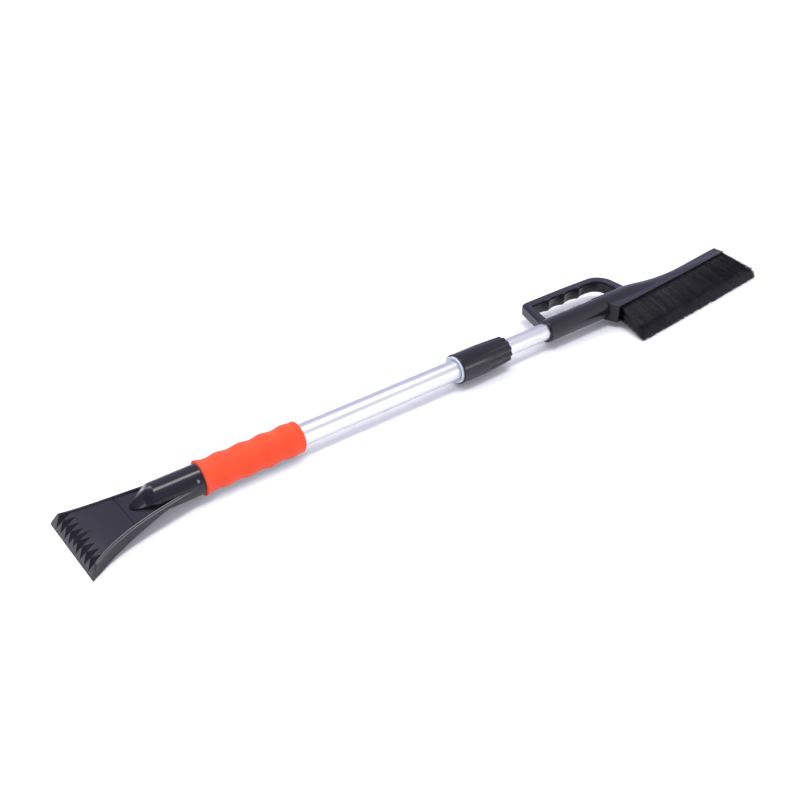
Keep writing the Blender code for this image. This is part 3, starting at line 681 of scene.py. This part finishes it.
def notch_cutter(y, start_z, end_x, flare):
    """A V that opens upwards, cut into the bevel and running out on the plate's face."""
    turn_x = face_start()
    end_z = plate_top(end_x) - RIM_STEP + NOTCH_ABOVE / 2
    rows = []
    for x in [NOTCH_START_X] + evenly(turn_x, end_x, 4):
        low = start_z + (end_z - start_z) * (x - NOTCH_START_X) / (end_x - NOTCH_START_X)
        surface = plate_top(x) if x <= turn_x else plate_top(x) - RIM_STEP
        top = max(low, surface) + NOTCH_ABOVE
        if turn_x < x < BEVEL_LENGTH:
            top = plate_top(BEVEL_LENGTH) - RIM_STEP + NOTCH_ABOVE
        half = flare * (top - low)
        rows.append([Vector((x, y, low)), Vector((x, y + half, top)), Vector((x, y - half, top))])
    return loft("notch", rows)


def tooth_notches():
    ys = [side * (TOOTH_FIRST_Y + TOOTH_PITCH * i)
          for side in (-1, 1) for i in range(TEETH_PER_SIDE)]
    made = [notch_cutter(y, NOTCH_START_Z, NOTCH_END_X, NOTCH_FLARE) for y in ys]
    return made + [notch_cutter(0.0, FLUTE_START_Z, FLUTE_END_X, FLUTE_FLARE)]


def make_crease():
    """V-shaped groove across the plate's face, from rim to rim."""
    level = plate_top(CREASE_X) - RIM_STEP
    reach = plate_half_width(CREASE_X) - RIM_WIDTH
    rows = [[Vector((CREASE_X + x, y, level + z)) for x, z in CREASE_CORNERS]
            for y in (-reach, reach)]
    return loft("crease", rows)


def nose_row(x, shrink=1.0):
    """Upright foot, hollow flanks and a rounded ridge; near the socket it swells to its round."""
    share = (x - NOSE_TIP_X) / (SOCKET_FRONT_X - NOSE_TIP_X)
    half = sqrt(NOSE_PLAN * (x - NOSE_TIP_X + NOSE_BLUNT)) * shrink
    rise = AXIS_Z + SOCKET_RADIUS - NOSE_INSET - NOSE_TIP_Z
    ridge = NOSE_TIP_Z + rise * (1 - (1 - share) ** NOSE_RIDGE_POWER)
    ridge = NOSE_ROOT_Z + (ridge - NOSE_ROOT_Z) * shrink
    lip = between(NOSE_LIP, share ** NOSE_LIP_POWER) * shrink
    swell_start, swell_length, swell_power = NOSE_SWELL
    swell = max(0.0, (share - swell_start) / swell_length) ** swell_power
    power = NOSE_FLANK_POWER[0] + NOSE_FLANK_POWER[1] * share
    radius = SOCKET_RADIUS - NOSE_INSET
    row = []
    for point in ring(x, 1.0, TURN_COUNT, 0.0, 0.0):
        flank = max(0.0, 1.0 - sqrt(point.y * point.y + NOSE_RIDGE_ROUND)) ** power
        up = lip * smooth(point.z / NOSE_LIP_RISE) + (ridge - NOSE_ROOT_Z - lip) * flank
        down = NOSE_BELLY * min(0.0, point.z)
        nose = Vector((x, half * point.y, NOSE_ROOT_Z + (up if point.z > 0 else down)))
        row.append(nose.lerp(Vector((x, radius * point.y, AXIS_Z + radius * point.z)), swell))
    return row


def nose_and_socket():
    """Round socket whose ridged nose rises off the plate."""
    rows = []
    for ahead, shrink in NOSE_TIP_ROUND:
        row = nose_row(NOSE_TIP_X, shrink)
        rows.append([point - Vector((ahead, 0, 0)) for point in row])
    rows += [nose_row(x) for x in evenly(NOSE_TIP_X, SOCKET_FRONT_X, 40)]
    rows += [ring(x, SOCKET_RADIUS - inset) for x, inset in (
        (SOCKET_FRONT_X + 0.0001, 0.0001), (SOCKET_FRONT_X + 0.0004, 0.0), (0.100, 0.0),
        (0.112, 0.0), (0.125, 0.0), (SOCKET_END_X - 0.0008, 0.0),
        (SOCKET_END_X - 0.0003, 0.0002), (SOCKET_END_X, 0.0008))]
    return loft("socket", rows)


def make_scraper_head():
    head = loft("scraper_head_shell", [plate_section(x) for x in plate_stations()])
    round_edges(head, EDGE_ROUND, 2, 40)
    combine(head, "DIFFERENCE", *tooth_notches())
    combine(head, "DIFFERENCE", make_crease())
    combine(head, "DIFFERENCE", *scraper_pockets())
    combine(head, "UNION", nose_and_socket())
    cut_bore(head, OUTER_TUBE_START_X - GAP, SOCKET_END_X + BORE_OVERRUN, OUTER_TUBE_RADIUS)
    drill(head, RIVET_HOLE_RADIUS, RIVET_X, RIVET_DIRECTION)
    finish_piece(head, "handle", "black_plastic", ["scraper_head"], sharp=18, even=True)


def make_rivet():
    """Domed rivet through the socket's wall and the tube."""
    shank, head = 0.0013, 0.0016
    seat = SOCKET_RADIUS + GAP
    profile = [(OUTER_TUBE_BORE - 0.0001, shank), (seat, shank), (seat, head)]
    profile += [(seat + 0.0002 + 0.0005 * sin(a), head * cos(a) + 0.0001)
                for a in [radians(10 * i) for i in range(9)]]
    rivet = rod("scraper_rivet_head", profile, RIVET_X, RIVET_DIRECTION)
    finish_piece(rivet, "handle", "zinc_steel", ["scraper_rivet"])


# -------- tubes and grip
def make_tube(name, start, end, radius, bore):
    """A tube with its edges broken."""
    edge = 0.00015
    return turned(name, [(start, bore + edge), (start, radius - edge), (start + edge, radius),
                         (end - edge, radius), (end, radius - edge), (end, bore + edge),
                         (end - edge, bore), (start + edge, bore)])


def make_outer_tube():
    tube = make_tube("outer_tube_shell", OUTER_TUBE_START_X, OUTER_TUBE_END_X,
                     OUTER_TUBE_RADIUS, OUTER_TUBE_BORE)
    drill(tube, RIVET_HOLE_RADIUS, RIVET_X, RIVET_DIRECTION)
    finish_piece(tube, "handle", "aluminium", ["outer_tube"])


def make_inner_tube():
    tube = make_tube("inner_tube_shell", INNER_TUBE_START_X, INNER_TUBE_END_X,
                     INNER_TUBE_RADIUS, INNER_TUBE_BORE)
    drill(tube, SCREW_HOLE_RADIUS, SCREW_X, SCREW_DIRECTION)
    finish_piece(tube, "brush", "aluminium", ["inner_tube"])


def grip_radius(x):
    """Shallow finger waves, flared ends and rolled edges."""
    radius = GRIP_RADIUS + GRIP_WAVE * cos(2 * pi * (x - GRIP_START_X) / GRIP_WAVE_LENGTH)
    to_end = min(x - GRIP_START_X, GRIP_END_X - x)
    radius += GRIP_END_FLARE * smooth(1 - to_end / GRIP_FLARE_LENGTH)
    for edge, roll in GRIP_ROLLS:
        inside = min(roll, abs(x - edge))
        radius -= roll - sqrt(roll * roll - (roll - inside) ** 2)
    return radius


def make_foam_grip():
    """Foam sleeve: finger waves with the slight unevenness of soft foam."""
    bore = OUTER_TUBE_RADIUS + GAP
    length = GRIP_END_X - GRIP_START_X
    rows = [ring(GRIP_START_X, bore)]
    for angle in evenly(0.0, pi, 230):
        x = GRIP_START_X + length * (0.5 - 0.5 * cos(angle))
        row = []
        for point in ring(x, grip_radius(x)):
            out = Vector((0.0, point.y, point.z - AXIS_Z)).normalized()
            uneven = sum(depth * noise.noise(point * rate) for depth, rate in GRIP_UNEVENNESS)
            row.append(point + out * uneven)
        rows.append(row)
    rows.append(ring(GRIP_END_X, bore))
    grip = loft("foam_grip_sleeve", rows, closed=True)
    finish_piece(grip, "handle", "orange_foam", ["foam_grip"], sharp=50)
    grip.visible_diffuse = False


def make_inner_plug():
    stem = INNER_TUBE_BORE - GAP
    flange = INNER_TUBE_RADIUS - 0.0002
    face = INNER_TUBE_START_X - GAP
    inner = face - PLUG_FLANGE
    outer = inner - RING_LENGTH - 2 * GAP
    end = face + 0.019
    groove, hollow = 0.0085, 0.0060
    tip = outer - PLUG_FLANGE
    profile = [
        (tip, flange - 0.0006), (tip + 0.0006, flange), (outer, flange),
        (outer, groove), (inner, groove), (inner, flange), (face, flange),
        (face, stem), (end - 0.001, stem), (end, stem - 0.001), (end, hollow),
        (tip, hollow)]
    plug = turned("inner_plug_body", profile)
    finish_piece(plug, "brush", "pale_nylon", ["inner_plug"])


def make_guide_ring():
    end = INNER_TUBE_START_X - GAP - PLUG_FLANGE - GAP
    start = end - RING_LENGTH
    bore, radius, soft = 0.0088, 0.01104, 0.0004
    profile = [
        (start, bore), (end, bore), (end, radius - soft), (end - soft, radius),
        (start + soft, radius), (start, radius - soft)]
    band = split_ring("guide_ring_band", profile, radians(12))
    finish_piece(band, "guide", "pale_nylon", ["guide_ring"])


# -------- twist lock
def make_ferrule():
    """Pale sleeve fixed to the outer tube, with a lip round its face and a thread outside."""
    on_tube = OUTER_TUBE_RADIUS + GAP
    free_bore = INNER_TUBE_RADIUS + FERRULE_BORE_GAP
    shoulder = OUTER_TUBE_END_X + GAP
    start = stations("lock_ferrule")[0]
    profile = [
        (start + 0.0010, on_tube), (start + 0.0008, on_tube + 0.0002), (start + 0.0008, 0.0138),
        (start + 0.0002, 0.0143), (start, 0.0147), (start, 0.0159), (start + 0.0001, 0.0163),
        (start + 0.0004, THREAD_RADIUS), (start + 0.005, THREAD_RADIUS)]
    root = THREAD_RADIUS - THREAD_DEPTH
    x = start + 0.006
    while x + THREAD_PITCH < OUTER_TUBE_END_X:
        profile += [
            (x, THREAD_RADIUS), (x + 0.3 * THREAD_PITCH, root), (x + 0.7 * THREAD_PITCH, root)]
        x += THREAD_PITCH
    profile += [
        (x, THREAD_RADIUS), (x + 0.002, THREAD_RADIUS), (x + 0.003, 0.0146),
        (FERRULE_NOSE_X, 0.0142), (FERRULE_NOSE_X, free_bore), (shoulder, free_bore),
        (shoulder, on_tube)]
    ferrule = turned("lock_ferrule_sleeve", profile)
    finish_piece(ferrule, "handle", "pale_nylon", ["lock_ferrule"])


def make_collet():
    start = FERRULE_NOSE_X + GAP
    end = start + COLLET_LENGTH
    bore = INNER_TUBE_RADIUS + COLLET_BORE_GAP
    profile = [
        (start, bore), (end, bore), (end, COLLET_END_RADIUS),
        (start + COLLET_CONE_START, COLLET_RADIUS), (start, COLLET_RADIUS)]
    collet = split_ring("lock_collet_ring", profile, radians(9))
    finish_piece(collet, "collet", "pale_nylon", ["lock_collet"])


def collar_radius(x):
    along = max(0.0, (x - COLLAR_TAPER_X) / (COLLAR_END_X - COLLAR_TAPER_X))
    return COLLAR_RADIUS + (COLLAR_END_RADIUS - COLLAR_RADIUS) * along ** COLLAR_TAPER_POWER


def collar_groove(x, offset):
    """Depth of a V-groove that starts as a point and widens; offset is in rib pitches."""
    along = min(1.0, max(0.0, (x - COLLAR_RIB_X) / (COLLAR_END_X - 0.004 - COLLAR_RIB_X)))
    wide = GROOVE_WIDTH[0] + GROOVE_WIDTH[1] * along
    level = max(0.0, 1 - sqrt(offset * offset + COLLAR_RIB_ROUND) / wide)
    return COLLAR_RIB_DEPTH * along ** COLLAR_RIB_POWER * level


def collar_row(x, radius, depth=0.0, groove_x=0.0):
    """Round the collar, with the grooves of a station cut to a share of their depth."""
    count = COLLAR_RIBS * 24
    row = []
    for angle in [2 * pi * (i + 0.5) / count for i in range(count)]:
        turns = angle * COLLAR_RIBS / (2 * pi)
        groove = collar_groove(groove_x, abs(turns % 1.0 - 0.5)) if groove_x else 0.0
        r = radius - groove * depth
        row.append(Vector((x, r * cos(angle), AXIS_Z + r * sin(angle))))
    return row


def make_collar():
    """Twist collar: a plain barrel that runs into twelve ribs towards the brush."""
    roll = 0.0009
    rows = [collar_row(COLLAR_START_X + roll - roll * cos(a), COLLAR_RADIUS - roll + roll * sin(a))
            for a in [radians(15 * i) for i in range(7)]]
    for x in evenly(COLLAR_START_X + roll, COLLAR_END_X - 0.0012, 44)[1:]:
        rows.append(collar_row(x, collar_radius(x), 1.0, x))
    end_radius = collar_radius(COLLAR_END_X)
    rows.append(collar_row(COLLAR_END_X - 0.0003, end_radius - 0.0004, 0.8, COLLAR_END_X))
    rows.append(collar_row(COLLAR_END_X, end_radius - 0.0012, 0.5, COLLAR_END_X))
    bore = INNER_TUBE_RADIUS + COLLAR_BORE_GAP
    over_thread = THREAD_RADIUS + 0.0004
    cone_start = FERRULE_NOSE_X + GAP + COLLET_CONE_START
    cone_end = FERRULE_NOSE_X + GAP + COLLET_LENGTH
    inside = (
        (COLLAR_END_X, bore + 0.0003), (COLLAR_END_X - 0.0003, bore), (cone_end + 0.001, bore),
        (cone_end + 0.0009, 0.0128), (cone_start, 0.0145), (FERRULE_NOSE_X - 0.003, 0.0150),
        (FERRULE_NOSE_X - 0.0055, over_thread), (COLLAR_START_X, over_thread))
    rows += [collar_row(x, radius) for x, radius in inside]
    collar = loft("lock_collar_shell", rows, closed=True)
    finish_piece(collar, "collar", "black_plastic", ["lock_collar"])


# -------- brush head
def block_face(x):
    return BLOCK_FACE_Y + BLOCK_FACE_SLOPE * (x - BLOCK_START_X)


def block_back(x):
    start, end = BLOCK_NECK_X
    slim = block_face(x) + BLOCK_WIDTH + BLOCK_SWELL * smooth((x - end) / BLOCK_SWELL_LENGTH)
    return BLOCK_BACK_Y + (slim - BLOCK_BACK_Y) * smooth((x - start) / (end - start))


def fairing(x):
    """Centre and radius of the round socket as it sinks into the block."""
    start, end = FAIRING_X
    share = smooth((x - start) / (end - start))
    radius = BRUSH_SOCKET_RADIUS + (FAIRING_END_RADIUS - BRUSH_SOCKET_RADIUS) * share
    return FAIRING_SHIFT_Y * share, radius


def roof(x, y):
    """The block's top, drawn up in a smooth hollow to the round socket."""
    flat = ROOF_Z - ROOF_FALL * smooth((x - ROOF_FALL_X) / ROOF_FALL_LENGTH)
    centre, radius = fairing(x)
    off = y - centre
    round_top = AXIS_Z + sqrt(max(0.0, (radius + ROOF_CLEAR) ** 2 - off * off))
    share = max(0.0, ROOF_HOLLOW - abs(flat - round_top)) / ROOF_HOLLOW
    return max(flat, round_top) + share * share * ROOF_HOLLOW / 4


def block_section(x):
    near = block_face(x)
    back = block_back(x)
    small = BLOCK_NEAR_ROUND
    fading = 1 - smooth((x - BACK_ROUND_X) / BACK_ROUND_LENGTH)
    large = BLOCK_BACK_ROUND[0] + BLOCK_BACK_ROUND[1] * fading
    bottom = BLOCK_BOTTOM_Z
    near_top = roof(x, near + small)
    back_top = roof(x, back - large)
    outline = arc(near + small, bottom + small, small, 270, 180, 4)
    outline += arc(near + small, near_top - small, small, 180, 90, 4)
    for i in range(1, 20):
        y = near + small + (back - large - near - small) * i / 20
        outline.append((y, roof(x, y)))
    outline += arc(back - large, back_top - large, large, 90, 0, 8)
    outline += arc(back - large, bottom + large, large, 0, -90, 8)
    lean = BLOCK_LEAN * max(0.0, 1 - (x - BLOCK_START_X) / BLOCK_LEAN_LENGTH)
    return [Vector((x - lean * max(0.0, y - BLOCK_FACE_Y), y, z)) for y, z in outline]


def make_block():
    """Sections from the slanted start to the rounded end."""
    last = BLOCK_END_X - BLOCK_TIP_RADIUS
    rows = [block_section(x) for x in evenly(BLOCK_START_X, last, 120)]
    for angle in [radians(a) for a in BLOCK_TIP_ANGLES]:
        row = block_section(last + BLOCK_TIP_RADIUS * sin(angle))
        middle = sum(row, Vector()) / len(row)
        inset = BLOCK_TIP_RADIUS * (1 - cos(angle))
        shrunk = []
        for point in row:
            arm = Vector((0.0, point.y - middle.y, point.z - middle.z))
            shrunk.append(point - arm.normalized() * min(inset, arm.length * 0.9))
        rows.append(shrunk)
    return loft("brush_head_shell", rows)


def inset_corner(before, here, after, inset):
    into = (here - before).normalized()
    out = (after - here).normalized()
    normals = Vector((-into.y, into.x)) + Vector((-out.y, out.x))
    return here + normals * (2 * inset / normals.length_squared)


def loop_outline(corners, radii, inset, bump_at):
    """Rounded four-cornered outline; its third side is the bar, cut up for the bumps."""
    count = len(corners)
    moved = [inset_corner(corners[i - 1], corners[i], corners[(i + 1) % count], inset)
             for i in range(count)]
    points = []
    for i, corner in enumerate(moved):
        back = (moved[i - 1] - corner).normalized()
        ahead = (moved[(i + 1) % count] - corner).normalized()
        half = acos(max(-1.0, min(1.0, back.dot(ahead)))) / 2
        radius = max(LEAST_RADIUS, radii[i] - inset)
        centre = corner + (back + ahead).normalized() * (radius / sin(half))
        start = corner + back * (radius / sin(half) * cos(half)) - centre
        sweep = pi - 2 * half
        for k in range(CORNER_STEPS + 1):
            turn = Matrix.Rotation(sweep * k / CORNER_STEPS, 2)
            points.append(centre + turn @ start)
        if i == 2:
            begin = points[-1]
            reach = max(LEAST_RADIUS, min(radii[3] - inset, BAR_END))
            end = moved[3] + (moved[2] - moved[3]).normalized() * reach
            for k in range(1, BAR_STEPS):
                point = begin.lerp(end, k / BAR_STEPS)
                points.append(point - Vector((0.0, bump_at(point.x))))
    return points


def finger_bump(x):
    """Blunt crests between scooped finger hollows, on the inner side of the bar."""
    total = 0.0
    for i in range(3):
        off = (x - FINGER_FIRST_X - FINGER_PITCH * i) / FINGER_PITCH
        total += FINGER_HEIGHT * max(0.0, 1 - 2 * sqrt(off * off + FINGER_ROUND)) ** 2
    return total


def side_levels():
    """(height, inset) up one side of the grip's section: broken edges and a parting line."""
    tall = HANDLE_HALF_HEIGHT
    half = [
        (0.0, 0.0), (0.0003, 0.00005), (0.0005, 0.0002), (0.60 * tall, 0.0002),
        (0.65 * tall, 0.0003), (0.70 * tall, 0.0004), (0.94 * tall, 0.0023), (0.985 * tall, 0.0029),
        (tall, 0.0038)]
    below = [(-height, inset) for height, inset in reversed(half[1:])]
    return below + half


def handle_row(corners, radii, height, inset, bump_at):
    """One level of the grip; its left corner hangs a little lower than its right end."""
    row = []
    for point in loop_outline([Vector(corner) for corner in corners], radii, inset, bump_at):
        droop = HANDLE_DROOP * (1 - smooth((point.x - BRUSH_SOCKET_X) / HANDLE_DROOP_LENGTH))
        row.append(Vector((point.x, point.y, AXIS_Z + height - droop)))
    return row


def make_handle_loop():
    """Up the outside of the loop and down the inside of its opening."""
    levels = side_levels()
    rows = [handle_row(HANDLE_OUTER, HANDLE_OUTER_RADII, height, inset, lambda x: 0.0)
            for height, inset in levels]
    rows += [handle_row(HANDLE_INNER, HANDLE_INNER_RADII, height, HANDLE_INNER_SHARE * inset,
                        finger_bump) for height, inset in reversed(levels)]
    return loft("handle_loop", rows, closed=True)


def make_brush_head():
    head = make_block()
    roll = 0.0010
    rows = [ring(BRUSH_SOCKET_X + roll - roll * cos(a), BRUSH_SOCKET_RADIUS - roll + roll * sin(a))
            for a in [radians(18 * i) for i in range(6)]]
    xs = (0.640, 0.660, 0.680, 0.700, 0.720, 0.740, 0.760)
    rows += [ring(x, BRUSH_SOCKET_RADIUS) for x in xs]
    for i in range(26):
        x = FAIRING_X[0] + 0.003 * i
        centre, radius = fairing(x)
        rows.append(ring(x, radius, TURN_COUNT, centre))
    combine(head, "UNION", loft("brush_socket", rows))
    combine(head, "UNION", make_handle_loop())
    cut_bore(head, BRUSH_SOCKET_X - BORE_OVERRUN, INNER_TUBE_END_X + GAP, INNER_TUBE_RADIUS)
    drill(head, SCREW_HOLE_RADIUS, SCREW_X, SCREW_DIRECTION)
    finish_piece(head, "brush", "black_plastic", ["brush_head"], even=True)


def make_screw():
    """Pan-head screw with a cross recess, under the brush's socket."""
    shank, head = 0.0014, 0.0030
    seat = BRUSH_SOCKET_RADIUS + GAP
    rim = seat + 0.0004
    profile = [(INNER_TUBE_BORE - 0.001, shank), (seat, shank), (seat, 0.0029), (rim, head)]
    profile += [(rim + 0.0008 * sin(a), head * cos(a) ** 0.6)
                for a in [radians(12 * i) for i in range(1, 7)]]
    screw = rod("brush_screw_head", profile, SCREW_X, SCREW_DIRECTION)
    face = AXIS_Z - seat - 0.0014
    for half_x, half_y in ((0.0015, 0.0003), (0.0003, 0.0015)):
        rows = [oblong(x, -half_y, half_y, face - 0.001, face + 0.0008)
                for x in (SCREW_X - half_x, SCREW_X + half_x)]
        combine(screw, "DIFFERENCE", loft("recess", rows))
    finish_piece(screw, "brush", "zinc_steel", ["brush_screw"])


# -------- bristles
def filament_path(rng, root_x, tip_x, lift, clump):
    """Centre points of one filament from its hole in the block to its cut end."""
    angle = rng.uniform(0, 2 * pi)
    off = TUFT_RADIUS * sqrt(rng.random())
    root = Vector((root_x + off * cos(angle), 0.0, between(TUFT_ROOT_Z, lift) + off * sin(angle)))
    root.y = block_face(root.x) + ROOT_DEPTH
    fan = rng.gauss(0.0, FAN_SCATTER) + FAN_SPREAD * off * cos(angle)
    tip = Vector((tip_x + fan + clump.x, 0.0, between(TUFT_TIP_Z, lift)
                  + rng.gauss(0.0, RISE_SCATTER) + RISE_SPREAD * off * sin(angle) + clump.z))
    over = max(0.0, tip.x - (TUFT_END_X - TUFT_END_EASE))
    tip.x = min(TUFT_END_X, tip.x - over + TUFT_END_EASE * over / (over + TUFT_END_EASE))
    end_share = (tip_x - TUFT_TIP_X[0]) / (TUFT_TIP_X[1] - TUFT_TIP_X[0])
    ragged = RAGGED[0] + RAGGED[1] * max(0.0, end_share - RAGGED_END[0]) / RAGGED_END[1]
    trim = abs(rng.gauss(0.0, ragged)) + clump.y + ROW_TRIM * lift * lift
    if rng.random() < STRAY_CHANCE:
        trim += rng.uniform(0.0, STRAY_TRIM)
    tip.y = TUFT_TIP_Y + TUFT_TIP_SLOPE * (tip.x - BLOCK_START_X) + trim
    bow = rng.gauss(0.0, BOW_SCATTER)
    hop = rng.gauss(0.0, HOP_SCATTER)
    points = []
    for i in range(FILAMENT_STEPS + 1):
        share = i / FILAMENT_STEPS
        belly = 4 * share * (1 - share)
        fanned = FAN_CURVE[0] * share + FAN_CURVE[1] * share ** FAN_CURVE[2]
        x = root.x + (tip.x - root.x) * fanned + bow * belly * share
        y = root.y + (tip.y - root.y) * share
        z = root.z + (tip.z - root.z) * share ** SAG_POWER + hop * belly
        points.append(Vector((x, y, max(FILAMENT_FLOOR_Z, z))))
    return points


def filament_faces(base):
    """Sides and both ends of the filament whose first point is number base."""
    sides = range(FILAMENT_SIDES)
    faces = []
    for i in range(FILAMENT_STEPS):
        for k in sides:
            a = base + i * FILAMENT_SIDES + k
            b = base + i * FILAMENT_SIDES + (k + 1) % FILAMENT_SIDES
            faces.append((a, a + FILAMENT_SIDES, b + FILAMENT_SIDES, b))
    last = base + FILAMENT_STEPS * FILAMENT_SIDES
    faces.append(tuple(base + k for k in sides))
    faces.append(tuple(last + k for k in reversed(sides)))
    return faces


def make_bristle_column(index, rng):
    """The filaments of one column of tufts, as one piece."""
    verts, faces, shades, places = [], [], [], []
    for number in range(TUFT_ROWS * TUFTS_PER_COLUMN):
        row, place_in_row = divmod(number, TUFTS_PER_COLUMN)
        stagger = (place_in_row - 0.5) / TUFTS_PER_COLUMN
        stagger += TUFT_STAGGER if row % 2 else -TUFT_STAGGER
        share = (index + stagger) / (TUFT_COLUMNS - 1)
        tuft_shade = rng.uniform(*TUFT_SHADE)
        clump = Vector((rng.gauss(0.0, TUFT_LEAN[0]), abs(rng.gauss(0.0, TUFT_LEAN[1])),
                        rng.gauss(0.0, TUFT_LEAN[2])))
        for _ in range(FILAMENTS_PER_TUFT):
            points = filament_path(rng, between(TUFT_ROOT_X, share), between(TUFT_TIP_X, share),
                                   row / (TUFT_ROWS - 1), clump)
            tone = min(1.0, max(0.0, tuft_shade + rng.gauss(0.0, FILAMENT_SHADE)))
            turn = rng.uniform(0, 2 * pi)
            faces += filament_faces(len(verts))
            for i, point in enumerate(points):
                radius = FILAMENT_RADIUS * (1.0 - FILAMENT_TAPER * i / FILAMENT_STEPS)
                for k in range(FILAMENT_SIDES):
                    a = turn + 2 * pi * k / FILAMENT_SIDES
                    verts.append((point.x + radius * cos(a), point.y, point.z + radius * sin(a)))
                    shades.append(tone)
                    places.append(i / FILAMENT_STEPS)
    name = "bristles_%02d" % (index + 1)
    node = "bristle_tufts_%02d" % (index + 1)
    mesh = bpy.data.meshes.new(name)
    mesh.from_pydata(verts, [], faces)
    for label, values in (("shade", shades), ("along", places)):
        mesh.attributes.new(label, "FLOAT", "POINT").data.foreach_set("value", values)
    column = new_object(name, mesh)
    finish_piece(column, "brush", "bristle", [node], sharp=180)


# -------- stage
def make_floor():
    """Far wider than the view."""
    reach = 20.0
    corners = ((-reach, -reach), (reach, -reach), (reach, reach), (-reach, reach))
    bm = bmesh.new()
    bm.faces.new([bm.verts.new((x, y, 0.0)) for x, y in corners])
    floor = to_object("floor", bm)
    floor.data.materials.append(make_material(pale_floor))


def softbox(name, location, target, size, power, colour=WHITE, beam=180):
    light = bpy.data.lights.new(name, "AREA")
    light.spread = radians(beam)
    light.shape = "RECTANGLE"
    light.size, light.size_y = size
    light.energy = power
    light.color = colour
    made = new_object(name, light)
    made.location = location
    aim = Vector(target) - Vector(location)
    made.rotation_euler = aim.to_track_quat("-Z", "Y").to_euler()


def make_light():
    """Walls of unlike brightness round the tool, a grey ceiling and four softboxes."""
    world = bpy.data.worlds.new("studio")
    world.use_nodes = True
    tree = world.node_tree
    around = add(tree, "TexCoord").outputs["Generated"]
    direction = add(tree, "SeparateXYZ", {"Vector": around}).outputs
    to_back = spread(tree, direction["Y"], 0.0, 1.0, -0.50, 0.15)
    upwards = spread(tree, direction["Z"], 0.0, 1.0, 0.50, 0.90)
    to_right = spread(tree, direction["X"], 0.0, 1.0, 0.30, 0.46)
    to_left = spread(tree, direction["X"], 0.0, 1.0, -0.30, -0.60)
    walls = blend(tree, to_right, FRONT_WALL, RIGHT_WALL)
    walls = blend(tree, to_back, walls, BACK_WALL)
    walls = blend(tree, to_left, walls, LEFT_WALL)
    feed(tree, tree.nodes["Background"], {"Color": blend(tree, upwards, walls, CEILING)})
    scene = bpy.context.scene
    scene.world = world
    scene.view_settings.view_transform = "Standard"
    softbox("key_softbox", (-1.20, 1.40, 2.40), (0.0, 0.0, 0.0),
            size=(1.6, 1.6), power=38.0, colour=WARM_WHITE)
    softbox("top_softbox", (0.18, -0.08, 1.5), (0.18, -0.08, 0.0),
            size=(0.84, 0.38), power=10.0)
    softbox("side_softbox", (0.53, -1.18, 0.33), (-0.42, 0.0, 0.02),
            size=(0.70, 0.35), power=0.14, beam=40)
    softbox("nose_softbox", (-0.86, -0.17, 1.25), (-0.41, -0.01, 0.03),
            size=(0.40, 0.34), power=0.19, beam=30)


def make_camera():
    """Above and in front of the scraper's end, looking along the tool."""
    azimuth, elevation, roll = [radians(angle) for angle in CAMERA_ANGLES]
    data = bpy.data.cameras.new("camera")
    data.sensor_width = 36.0
    data.lens = 45.0
    data.clip_start = 0.01
    data.clip_end = 100.0
    camera = new_object("camera", data)
    turn = Matrix.Rotation(azimuth, 4, "Z") @ Matrix.Rotation(pi / 2 - elevation, 4, "X")
    camera.matrix_world = (Matrix.Translation(CAMERA_PLACE) @ turn
                           @ Matrix.Rotation(roll, 4, "Z"))
    bpy.context.scene.camera = camera


# -------- assembly
def main():
    make_camera()
    make_light()
    make_floor()
    make_scraper_head()
    make_rivet()
    make_outer_tube()
    make_foam_grip()
    make_ferrule()
    make_collet()
    make_collar()
    make_inner_tube()
    make_inner_plug()
    make_guide_ring()
    make_brush_head()
    make_screw()
    rng = random.Random(7)
    for index in range(TUFT_COLUMNS):
        make_bristle_column(index, rng)


main()
